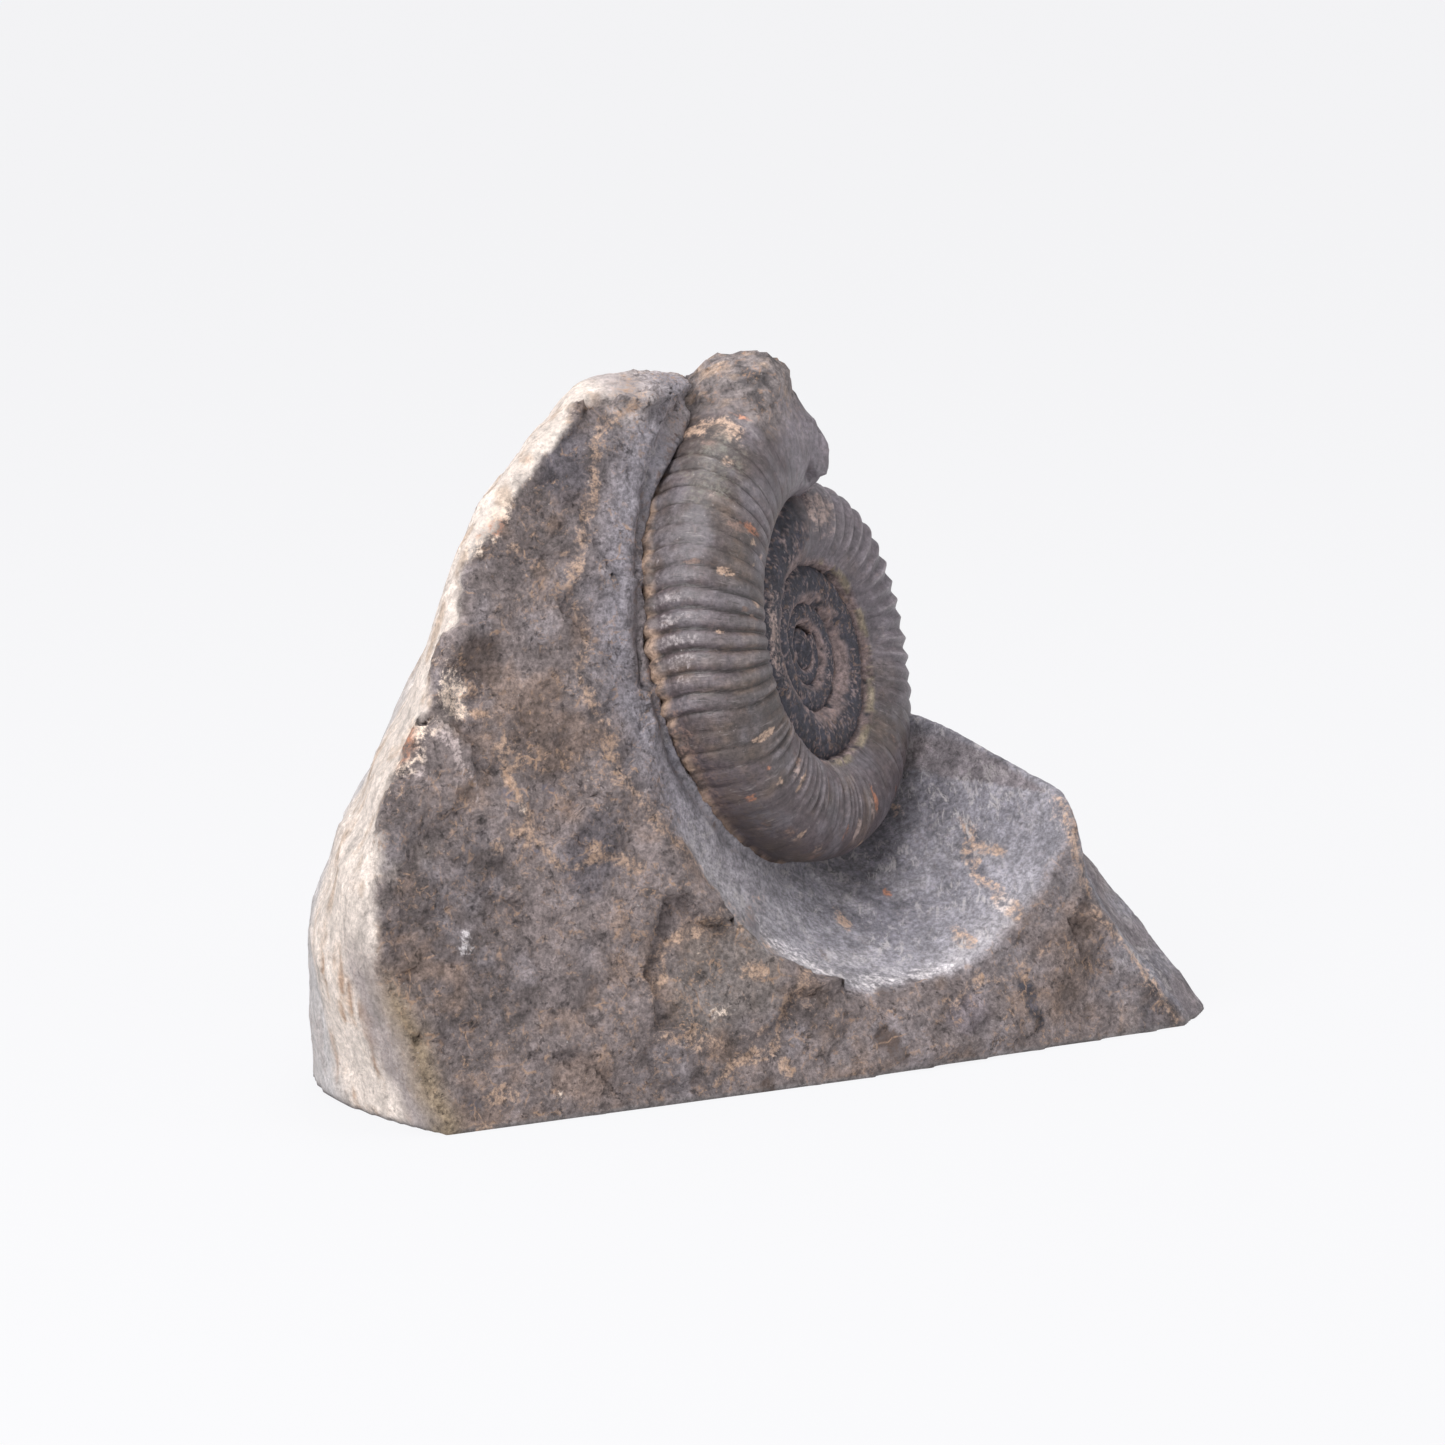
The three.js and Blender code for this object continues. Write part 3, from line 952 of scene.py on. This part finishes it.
    def paint(self, points: Array, normals: Array, shares: dict[Side, Array]) -> tuple[Array, Array, Array]:
        """Colours the block.

        Args:
            points: The block's points.
            normals: Their normals.
            shares: What side each is on.

        Returns:
            The base colour, the stains and the zones of each point.
        """
        x, _, z = points.T
        count = len(points)
        tone = StoneNoise.rough(points, 16, 31, 4)
        patch = StoneNoise.rough(points, 7, 37, 4)
        long = StoneNoise.rough(points * [1, 1, 0.25], 2.6, 43, 5)
        paint = coat(count, tint(128, 117, 116))
        paint = mix(paint, tint(84, 76, 76), ease(tone, 0.0, 0.45) * 0.6)
        paint = mix(paint, tint(142, 120, 107), ease(patch, 0.14, 0.5) * 0.5)
        paint = mix(paint, tint(152, 144, 148), ease(-patch, 0.25, 0.7) * 0.5)
        rind, hollow, end = shares[Side.RIND], shares[Side.HOLLOW], shares[Side.END]
        pale = coat(count, tint(226, 213, 204))
        pale = mix(pale, tint(176, 150, 128), ease(long, 0.1, 0.45) * 0.6)
        pale = mix(pale, tint(158, 120, 92), ease(long, 0.35, 0.6) * ease(z, 34, 20) * 0.6)
        deep = self.depth(points) + 2.5 * tone
        pale = mix(pale, tint(192, 190, 193), ease(deep, 19, 25) * ease(z, 70, 50) * 0.75)
        pale = mix(pale, tint(160, 149, 148), ease(deep, 10, 6) * ease(z, 32, 22) * 0.9)
        pale = mix(pale, tint(150, 142, 138), ease(-long, 0.3, 0.7) * 0.45)
        grey = coat(count, tint(130, 127, 134))
        grey = mix(grey, tint(108, 105, 113), ease(tone, 0.0, 0.5) * 0.7)
        grey = mix(grey, tint(172, 167, 171), ease(patch, 0.05, 0.6) * 0.5)
        grey = mix(grey, tint(158, 154, 160), ease(x, 14, -6) * ease(z, 46, 34) * 0.6)
        slate = coat(count, tint(116, 109, 113))
        slate = mix(slate, tint(112, 104, 108), ease(patch, 0.1, 0.6) * 0.6)
        paint = mix(paint, grey, hollow)
        paint = mix(paint, slate, end)
        paint = mix(paint, pale, rind)
        top = ease(z + 1.5 * patch, 97, 102) * ease(x + 2 * patch, -27, -22)
        shelf = coat(count, tint(184, 173, 171))
        shelf = mix(shelf, tint(104, 96, 98), ease(patch, 0.1, 0.5) * 0.8)
        paint = mix(paint, shelf, top)
        saw = coat(count, tint(128, 122, 122))
        paint = mix(paint, saw, shares[Side.BASE])
        gap = self.coil.depth(points)
        edge, far = self.edges_at(z)
        back = self.depth(points)
        # the smooth margin beside the shell, the shade under it and the bruised rim of the hollow
        left_of = ease(x, 2, -8) * ease(z, 22, 32) * ease(back, 16, 8)
        paint = mix(paint, LAVENDER, 0.9 * bell(gap + patch, 6, 4.5) * left_of)
        paint = mix(paint, DUSK, 0.55 * bell(gap + 2 * patch, 5, 6) * ease(x, 8, 18) * hollow)
        lip = hollow * ease(z, 44, 32) * ease(x, 46, 28)
        rim = bell(back + 0.8 * patch, 2.5, 2.6 + 2.4 * ease(x, 12, -8)) * lip
        paint = mix(paint, tint(172, 167, 171), 0.75 * rim)
        corner = bell(x - edge, 1.5, 2.2) * ease(back, 6, 2)
        paint = mix(paint, OCHRE, 0.8 * corner * ease(z, 28, 18))
        off_rind = 1 - rind
        for mark in self.patches:
            paint = mix(paint, mark.colour, mark.share(points) * off_rind)
        marks = (*self.details, *self.chance_flecks())
        layers = [(mark.colour, mark.share(points) * off_rind) for mark in marks]
        layers.append((TAN, 0.65 * bell(gap + 2.5 * patch, 12.5, 1.6) * left_of))
        layers.append((BROWN, 0.5 * bell(gap + patch, 2.6, 1.0) * left_of))
        layers.append((WHITE, 0.75 * rim * ease(tone, -0.35, 0.25)))
        layers.append((CREAM, 0.75 * corner * ease(z, 40, 60) * ease(patch, -0.3, 0.2)))
        layers.append((RUST, 0.5 * corner * ease(z, 40, 60) * ease(patch, 0.2, 0.6)))
        layers.append((TAN, 0.65 * bell(x - far + patch, -1.5, 1.6) * ease(x, 36, 44) * ease(back, 8, 4)))
        stain = stack_stains(count, layers)
        warm = np.clip(shares[Side.FRONT] + 0.25 * rind + 0.08 * hollow, 0, 1)
        zones = np.stack([np.clip(hollow + 0.6 * end, 0, 1), rind, warm], axis=1)
        return np.clip(paint, 0, 1), stain, zones

    def chance_flecks(self) -> list[Blotch]:
        """Small patches scattered over the broken front.

        Returns:
            The flecks.
        """
        colours = (TAN, BROWN, TAN, DUSK, CREAM, TAN)
        found = []
        for lot in StoneNoise.lots(self.flecks, 5, 211):
            colour = colours[int(lot[4] * len(colours)) % len(colours)]
            size = 0.6 + 1.6 * lot[2] ** 2
            found.append(Blotch(lot[0], 0.92 * lot[1], size * (0.7 + lot[3]), size, colour, 0.7))
        return found

    def build(self) -> bpy.types.Object:
        """Builds and dresses the rock.

        Returns:
            The finished piece.
        """
        mesh = self.block()
        points, normals = read_points(mesh), read_normals(mesh)
        shares = self.shares(points, normals)
        finished = self.carve(points, normals, shares)
        write_points(mesh, finished)
        paint, stain, zones = self.paint(points, normals, shares)
        write_layer(mesh, "paint", paint)
        write_layer(mesh, "stain", stain)
        write_layer(mesh, "zones", zones)
        mesh.name = "host_rock_stone"
        piece = add_object("host_rock_stone", mesh)
        mesh.shade_smooth()
        mesh.materials.append(
            StoneFinish(
                "broken_limestone", tint(184, 152, 128), tint(200, 193, 192),
                tint(58, 52, 54), 0.86, 0.7, 0.62, 0.35,
            ).material()
        )
        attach(piece, "root")
        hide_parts("host_rock")
        LOG.info("host rock: %d faces", len(mesh.polygons))
        return piece


@dataclass(frozen=True)
class Spot:
    """A patch on the shell.

    Attributes:
        angle: Spiral angle of its middle.
        flank: Angle round the whorl of its middle, from the venter towards the clean flank.
        wide: Half its size along the coil, in millimetres.
        long: Half its size along the ribs, in millimetres.
        colour: Its colour.
        strength: How much it covers.
    """

    angle: float
    flank: float
    wide: float
    long: float
    colour: Colour
    strength: float = 0.8

    def share(self, angle: Array, flank: Array, radius: Array, points: Array) -> Array:
        """How much of the patch is at each point of the shell.

        Args:
            angle: Spiral angles of the points.
            flank: Their angles round the whorl.
            radius: The venter's radius there.
            points: The points, in millimetres.

        Returns:
            A share from 0 to 1 a point.
        """
        along = np.radians(angle - self.angle) * radius
        across = np.radians(flank - self.flank) * 0.24 * radius
        away = np.hypot(along / self.wide, across / self.long)
        return self.strength * ease(away + 0.3 * StoneNoise.rough(points, 3.5, 5, 3), 1.25, 0.75)


# painted highlight: the colour of a sheen painted onto the shell
PAINTED_SHEEN_HIGHLIGHT = tint(148, 140, 141)
OLIVE = tint(92, 89, 82)
UMBER = tint(112, 92, 84)
FLESH = tint(146, 128, 122)
# painted shade: the colour painted on the underside of the last whorl
UNDERSIDE_SHADE = tint(70, 61, 58)


@dataclass
class Ammonite:
    """The coiled shell with its ribs, its rough middle and the rind left on its broken end.

    Attributes:
        coil: The spiral it follows.
        rib_gap: Distance from rib to rib along the venter, in millimetres.
        rib_height: How high a rib stands.
        start: Spiral angle of the innermost whorl.
        steps: Rings along the shell.
        sides: Points round each ring.
        flecks: How many small chance patches it has.
    """

    coil: Coil
    rib_gap: float = 3.4
    rib_height: float = 0.95
    start: float = -1020.0
    steps: int = 1380
    sides: int = 68
    flecks: int = 44

    def chance_spots(self) -> list[Spot]:
        """Small warm patches scattered over the clean flank.

        Returns:
            The spots.
        """
        colours = (TAN, UMBER, FLESH, RUST, UMBER, TAN)
        found = []
        for lot in StoneNoise.lots(self.flecks, 5, 317):
            colour = colours[int(lot[4] * len(colours)) % len(colours)]
            found.append(Spot(140 + 200 * lot[0], 8 + 100 * lot[1], 0.4 + 0.7 * lot[2],
                              0.7 + 2.0 * lot[3] ** 2, colour))
        return found

    def rib_phase(self, angle: Array) -> Array:
        """How many ribs there are from the middle of the coil to an angle."""
        plain = self.coil.radius * self.coil.expansion ** ((angle - self.coil.reach) / 360)
        return plain * 2 * math.pi / math.log(self.coil.expansion) / self.rib_gap

    def sheet(self) -> tuple[bmesh.types.BMesh, Array, Array]:
        """A flat sheet of faces to roll into the whorl.

        Returns:
            The sheet, each vertex's spiral angle, and each vertex's angle round the whorl.
        """
        steps, sides = self.steps, self.sides
        shape = bmesh.new()
        bmesh.ops.create_grid(shape, x_segments=steps, y_segments=sides, size=0.5)
        spots = np.array([v.co[:2] for v in shape.verts]) + 0.5
        grow = math.log(self.coil.expansion) / 360
        low, high = math.exp(grow * self.start), math.exp(grow * self.coil.broken_end)
        length = low + (high - low) * spots[:, 0]
        return shape, np.log(length) / grow, spots[:, 1] * 2 * math.pi

    def ribs(self, angle: Array, flank: Array) -> tuple[Array, Array]:
        """The ribs' shape.

        Args:
            angle: Spiral angles.
            flank: Angles round the whorl, from the venter, below 0 on the hidden side.

        Returns:
            How high the shell is lifted there, as a share of a rib, and the rib count.
        """
        side = np.abs(flank)
        ahead = np.stack([angle / 16, side / 170, 0 * angle], axis=1)
        phase = self.rib_phase(angle + 1.8 * ease(side, 0, 70)) + 0.2 * StoneNoise.rough(ahead, 1.0, 91, 2)
        turn = np.abs(phase - np.round(phase)) * 2
        number = np.round(phase)
        lot = StoneNoise.scatter(np.stack([number, 0 * number, 0 * number], axis=1), 93)
        early = ease(angle, 140, 95)
        broad = (1 - turn**3.2) - 0.72
        sharp = (1 - turn) ** 1.2 - 0.35
        rib = (1 - early) * broad + early * 1.1 * sharp
        strength = 0.12 + 0.34 * lot + 0.16 * ease(angle, 285, 300)
        strength -= 0.3 * bell(angle, 208, 34) * ease(side, 100, 60)
        strength += 0.72 * bell(angle, 278, 16)
        strength -= 0.25 * ease(angle, 332, 345)
        strength += 0.45 * early
        strength *= ease(side, 142, 100) * ease(angle, -12, 12)
        folds = np.abs(1.6 * phase - np.round(1.6 * phase)) * 2
        low_flank = bell(angle, 212, 44) * ease(side, 45, 85) * ease(side, 165, 135) * (0.4 + 1.2 * lot)
        return rib * np.clip(strength, 0, 2) + 0.6 * low_flank * (0.5 - folds**1.6), phase

    def lumps(self, angle: Array, flank: Array, points: Array) -> tuple[Array, dict[str, Array]]:
        """Everything on the shell that isn't ribs.

        Args:
            angle: Spiral angles.
            flank: Angles round the whorl, below 0 on the hidden side.
            points: The smooth shell's points, in millimetres.

        Returns:
            The lift in millimetres, and how much each point is rind, crust, dark middle or
            broken end.
        """
        side = np.abs(flank)
        rough = StoneNoise.rough(points, 3.0, 63, 4)
        middle = ease(angle + 7 * rough, 8, -8)
        middle = np.maximum(middle, ease(side, 139, 150) * ease(angle, -5, 20) * ease(angle, 330, 230))
        over = ease(angle + 2.5 * rough, 335, 345) * ease(flank + 8 * rough, 78, 44) * ease(flank, -70, -40)
        over *= ease(angle, 372, 364)
        tilt, _, _ = StoneNoise.chips(points, 5.0, 97)
        rise = 5.0 * bell(angle, 352, 8) * ease(flank, 70, 30) * ease(flank, -50, 8) + 0.7
        crest = over * (rise + 0.9 * rough + 0.35 * tilt)
        bridge = ease(flank, -14, -34) * ease(flank, -85, -60) * ease(angle + 2 * rough, 329, 338)
        crest = crest + bridge * ease(angle, 368, 358) * (1.6 + 0.8 * rough)
        over = np.maximum(over, bridge * ease(angle, 372, 364))
        bead = StoneNoise.rough(points, 1.5, 65, 3)
        contact = ease(flank + 3 * bead, -62, -50) * ease(flank + 3 * bead, -22, -27) * ease(angle, 190, 205)
        contact *= ease(angle, 340, 330)
        seam = ease(side + 2 * bead, 138, 142) * ease(side + 2 * bead, 152, 147)
        seam = seam * ease(angle, 20, 30) * ease(angle, 205, 188)
        seam *= ease(flank, 0, 1)
        end = ease(angle, 352, 366)
        worn = 3.0 * ease(angle, 354, 373) * ease(side, 112, 40)
        lift = crest - worn + 0.5 * end * tilt * (1 - over) + 0.12 * StoneNoise.rough(points, 9, 61, 3)
        small = np.clip(self.coil.venter(angle) / 34, 0, 1)
        lift += middle * small * (0.4 * rough + 0.3 * bead + 0.5 * self.strands(flank, points))
        lift += contact * (0.9 + 0.6 * bead) + seam * (0.35 + 0.5 * bead)
        crest = np.clip(over, 0, 1)
        return lift, {"middle": middle, "crest": crest, "contact": contact, "seam": seam, "end": end}

    def strands(self, flank: Array, points: Array) -> Array:
        """How much of each point of the rough middle is a pale strand, mostly along the seams.

        Args:
            flank: Degrees round the tube, 0 on the venter and 90 on the clean flank.
            points: Places to judge, in millimetres.

        Returns:
            How much each point belongs to a strand, 0 to 1.
        """
        fine = StoneNoise.rough(points, 1.5, 85, 4)
        seam = np.maximum(ease(flank, 108, 132), ease(flank, 46, 24)) * ease(fine, -0.7, 0.0)
        return np.maximum(0.75 * seam, 0.7 * ease(np.abs(fine), 0.11, 0.02))

    def button(self, shape: bmesh.types.BMesh) -> Array:
        """Adds the lump of stone that fills the very middle of the coil.

        Args:
            shape: The shell, which the lump is added to.

        Returns:
            The lump's points, in millimetres.
        """
        known = len(shape.verts)
        bmesh.ops.create_uvsphere(shape, u_segments=40, v_segments=20, radius=1.0)
        shape.verts.ensure_lookup_table()
        ball = np.array([v.co[:] for v in shape.verts[known:]])
        across, up, out = self.coil.directions()
        away = np.hypot(ball[:, 0], ball[:, 1])
        around = np.arctan2(ball[:, 0], ball[:, 1])
        curl = 0.3 * np.cos(around - 11 * np.log(away + 0.08)) * ease(away, 1, 0.8)
        lie = 3.7 * (ball[:, :1] * across + ball[:, 1:2] * up) + (1.25 * ball[:, 2] + curl)[:, None] * out
        return np.array(self.coil.centre) + lie

    def build(self) -> bpy.types.Object:
        """Builds and dresses the shell.

        Returns:
            The finished piece.
        """
        shape, angle, around = self.sheet()
        coil = self.coil
        outer = coil.venter(angle)
        inner = coil.seam * coil.venter(angle - 360)
        shrink = np.sqrt(np.clip(1 - (np.clip(angle - 367, 0, None) / 9) ** 2, 0.05, 1))
        half, wide = 0.5 * (outer - inner) * shrink, coil.half_width * outer * shrink
        c, s = np.cos(around), np.sin(around)
        rc, rs = np.sign(c) * np.abs(c) ** 0.9, np.sign(s) * np.abs(s) ** 0.9
        flank = np.degrees(np.where(around > math.pi, around - 2 * math.pi, around))
        middle = 0.5 * (outer + inner) - 2.4 * ease(angle, 358, 374)
        core = coil.place(angle, middle, np.zeros_like(angle))
        bare = coil.place(angle, middle + rc * half, rs * wide)
        out = bare - core
        out /= np.maximum(np.linalg.norm(out, axis=1), 1e-6)[:, None]
        rib, phase = self.ribs(angle, flank)
        lift, parts = self.lumps(angle, flank, bare)
        rib = rib * (1 - parts["crest"]) * (1 - parts["middle"])
        points = bare + out * (lift + self.rib_height * rib)[:, None]
        parts |= {"angle": angle, "flank": flank, "rib": rib, "phase": phase, "outer": outer}
        lump = self.button(shape)
        points = np.concatenate([points, lump])
        fills = {"middle": 1.0, "angle": self.start, "flank": 90.0, "outer": 4.0}
        parts = {
            name: np.append(values, np.full(len(lump), fills.get(name, 0.0)))
            for name, values in parts.items()
        }
        for vertex, spot in zip(shape.verts, points * MM):
            vertex.co = spot
        mesh = self.close(shape, points, parts)
        piece = add_object("ammonite_shell", mesh)
        mesh.materials.append(
            StoneFinish(
                "petrified_shell", tint(170, 134, 108), tint(176, 167, 166),
                tint(44, 39, 40), 0.78, 0.45, 0.2, 0.5, 0.0, True,
            ).material()
        )
        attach(piece, "root")
        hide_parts("ammonite")
        LOG.info("ammonite: %d faces", len(mesh.polygons))
        return piece

    def close(self, shape: bmesh.types.BMesh, points: Array, parts: dict[str, Array]) -> bpy.types.Mesh:
        """Paints the rolled sheet and closes its long seam and both ends.

        Args:
            shape: The rolled sheet.
            points: Its points, in millimetres.
            parts: What is known of each vertex.

        Returns:
            The finished mesh.
        """
        mesh = bpy.data.meshes.new("ammonite_shell")
        shape.to_mesh(mesh)
        shape.free()
        for name, values in zip(("paint", "stain", "zones"), self.paint(points, parts)):
            write_layer(mesh, name, values)
        line = mesh.attributes.new("growth", "FLOAT_VECTOR", "POINT")
        lines = np.stack([parts["phase"], parts["flank"] / 18, 0 * parts["phase"]], axis=1)
        line.data.foreach_set("vector", lines.astype(np.float32).ravel())
        shape = bmesh.new()
        shape.from_mesh(mesh)
        bmesh.ops.remove_doubles(shape, verts=shape.verts, dist=0.000004)
        rims = [e for e in shape.edges if e.is_boundary]
        bmesh.ops.holes_fill(shape, edges=rims, sides=0)
        bmesh.ops.triangulate(shape, faces=[f for f in shape.faces if len(f.verts) > 4])
        bmesh.ops.recalc_face_normals(shape, faces=shape.faces)
        shape.to_mesh(mesh)
        shape.free()
        mesh.shade_smooth()
        return mesh

    def paint(self, points: Array, parts: dict[str, Array]) -> tuple[Array, Array, Array]:
        """Colours the shell.

        Args:
            points: The shell's points.
            parts: What is known of each vertex.

        Returns:
            The base colour, the stains and the zones of each point.
        """
        count = len(points)
        angle, flank, rib = parts["angle"], parts["flank"], parts["rib"]
        tone = StoneNoise.rough(points, 13, 81, 4)
        patch = StoneNoise.rough(points, 5, 83, 4)
        fine = StoneNoise.rough(points, 2.2, 85, 4)
        paint = coat(count, tint(86, 76, 79))
        paint = mix(paint, tint(74, 65, 61), ease(tone, 0.0, 0.5) * 0.7)
        paint = mix(paint, tint(112, 95, 84), ease(patch, 0.1, 0.6) * 0.5)
        paint = mix(paint, tint(112, 107, 113), ease(-patch, 0.1, 0.6) * 0.5)
        # painted highlight on the rib crests and painted shade in the grooves between the ribs
        paint = mix(paint, tint(132, 125, 128), ease(rib, 0.08, 0.26) * (0.3 + 0.2 * patch))
        paint = mix(paint, tint(42, 36, 35), ease(rib, -0.1, -0.4) * 0.8)
        paint = mix(paint, tint(124, 117, 124), ease(angle, 340, 352) * 0.7)
        early = ease(angle, 130, 100) * ease(angle, 5, 15)
        paint = mix(paint, tint(106, 99, 106), early * 0.6)
        # painted highlight: the rib crests of the early whorls are painted pale
        paint = mix(paint, tint(186, 176, 180), early * ease(rib, 0.35, 0.7) * 0.8)
        middle, crest = parts["middle"], parts["crest"]
        core = coat(count, tint(56, 55, 64))
        core = mix(core, tint(146, 127, 124), self.strands(flank, points))
        paint = mix(paint, core, middle)
        rock = coat(count, tint(122, 113, 112))
        rock = mix(rock, tint(60, 55, 57), ease(fine, 0.0, 0.35) * 0.85)
        rock = mix(rock, tint(170, 146, 128), ease(-fine, 0.3, 0.6) * 0.7)
        paint = mix(paint, rock, crest)
        crust = mix(coat(count, TAN), BROWN, ease(fine, -0.1, 0.35))
        paint = mix(paint, crust, 0.85 * parts["contact"])
        yellow = mix(coat(count, tint(146, 134, 114)), BROWN, ease(fine, 0.1, 0.5))
        paint = mix(paint, yellow, 0.8 * parts["seam"] * ease(fine, 0.25, -0.1))
        shadow = ease(flank, -52, -60) * ease(angle, 0, 100)
        paint = mix(paint, tint(60, 54, 54), shadow * 0.7)
        # a painted highlight (sheen) a quarter turn back from the break, painted shade on the underside
        # below it, an olive tinge above, warm older whorls
        back = self.coil.broken_end - angle
        layers = [
            # painted highlight on the venter, strongest on the rib crests
            (PAINTED_SHEEN_HIGHLIGHT, 0.7 * bell(back, 85, 20) * bell(flank, 0, 20) * ease(rib + 0.3 * patch, -0.1, 0.2)),
            (OLIVE, 0.55 * bell(back, 50, 15) * bell(flank, 30, 35)),
            # painted shade on the downward-facing underside of the last whorl
            (UNDERSIDE_SHADE, 0.75 * bell(back, 150, 30) * bell(flank, 0, 35)),
            (UMBER, 0.7 * bell(back, 120, 15) * bell(flank, -20, 12)),
            (FLESH, 0.8 * bell(back, 360, 12) * bell(flank, 75, 35)),
            (FLESH, 0.7 * bell(back, 450, 30) * bell(flank, 90, 25)),
            (TAN, 0.8 * bell(back + 3 * patch, 40, 2.5) * ease(flank, -20, -5) * ease(flank, 55, 40)),
        ]
        outer = parts["outer"]
        layers += [(spot.colour, spot.share(angle, flank, outer, points)) for spot in self.chance_spots()]
        stain = stack_stains(count, layers)
        bare = np.clip(1 - middle - crest - parts["contact"] - parts["seam"], 0, 1)
        warm = np.clip(0.8 * crest + 0.35 * middle + 0.5 * parts["contact"] + 0.1, 0, 1)
        return np.clip(paint, 0, 1), stain, np.stack([bare, 0 * bare, warm], axis=1)


@dataclass
class Studio:
    """A pale floor, soft lamps and the camera, in millimetres and degrees."""

    aim: tuple[float, float, float] = tuple(SHELL_BOX[0] + CORNER_TO_CENTRE + (-11.0, 5.0, -11.5))
    azimuth: float = -28.0
    elevation: float = 11.0
    distance: float = 900.0
    view_angle: float = 14.6

    def build(self) -> None:
        """Builds the whole studio."""
        self.sweep()
        self.sky()
        self.lamp("key_softbox", (-540, -300, 480), 420, 6.0)
        self.lamp("top_softbox", (60, 40, 760), 460, 3.2)
        self.lamp("fill_softbox", (520, -420, 300), 420, 1.1)
        self.camera()

    def sweep(self) -> None:
        """A flat pale floor."""
        shape = bmesh.new()
        bmesh.ops.create_grid(shape, x_segments=2, y_segments=2, size=6.0)
        mesh = bpy.data.meshes.new("pale_floor")
        shape.to_mesh(mesh)
        shape.free()
        floor = add_object("pale_floor", mesh)
        paper = bpy.data.materials.new("white_paper")
        paper.use_nodes = True
        skin = paper.node_tree.nodes["Principled BSDF"]
        skin.inputs["Base Color"].default_value = (0.05, 0.05, 0.05, 1)
        skin.inputs["Roughness"].default_value = 0.9
        skin.inputs["Specular IOR Level"].default_value = 0.0
        skin.inputs["Emission Color"].default_value = (0.965, 0.965, 0.982, 1)
        skin.inputs["Emission Strength"].default_value = 0.905
        mesh.materials.append(paper)

    def sky(self) -> None:
        """Even white light from all round."""
        world = bpy.data.worlds.new("white_room")
        bpy.context.scene.world = world
        world.use_nodes = True
        tree = world.node_tree
        tree.nodes.clear()
        g = GraphBuilder(tree)
        seen = g.node("ShaderNodeBackground", Color=(0.968, 0.968, 0.983, 1), Strength=1.0)
        lit = g.node("ShaderNodeBackground", Color=(0.97, 0.97, 1.0, 1), Strength=0.42)
        path = g.node("ShaderNodeLightPath")
        join = g.node("ShaderNodeMixShader")
        g.link(path.outputs["Is Camera Ray"], join.inputs[0])
        g.link(lit.outputs[0], join.inputs[1])
        g.link(seen.outputs[0], join.inputs[2])
        out = g.node("ShaderNodeOutputWorld")
        g.link(join.outputs[0], out.inputs["Surface"])

    def lamp(self, name: str, place: tuple[float, float, float], size: float, power: float) -> None:
        """Adds a soft lamp that looks at the piece.

        Args:
            name: The lamp's name.
            place: Where it hangs.
            size: How wide it is.
            power: Its power in watts.
        """
        light = bpy.data.lights.new(name, "AREA")
        light.shape = "SQUARE"
        light.size = size * MM
        light.energy = power
        lamp = bpy.data.objects.new(name, light)
        bpy.context.scene.collection.objects.link(lamp)
        lamp.location = Vector(place) * MM
        aim = Vector(self.aim) * MM - lamp.location
        lamp.rotation_euler = aim.to_track_quat("-Z", "Y").to_euler()

    def camera(self) -> None:
        """Sets up the camera."""
        a, e = math.radians(self.azimuth), math.radians(self.elevation)
        back = Vector((math.sin(a) * math.cos(e), -math.cos(a) * math.cos(e), math.sin(e)))
        lens = bpy.data.cameras.new("camera")
        lens.sensor_width = 36
        lens.lens = 18 / math.tan(math.radians(self.view_angle) / 2)
        lens.clip_start, lens.clip_end = 0.02, 30
        eye = bpy.data.objects.new("camera", lens)
        bpy.context.scene.collection.objects.link(eye)
        eye.location = (Vector(self.aim) + back * self.distance) * MM
        eye.rotation_euler = (-back).to_track_quat("-Z", "Y").to_euler()
        bpy.context.scene.camera = eye
        bpy.context.scene.view_settings.view_transform = "Standard"


def main() -> None:
    """Builds the fossil and its studio, and reports each piece."""
    logging.basicConfig(level=logging.INFO, format="%(name)s: %(message)s")
    coil = Coil()
    Studio().build()
    HostRock(coil).build()
    Ammonite(coil).build()


if __name__ == "__main__":
    main()
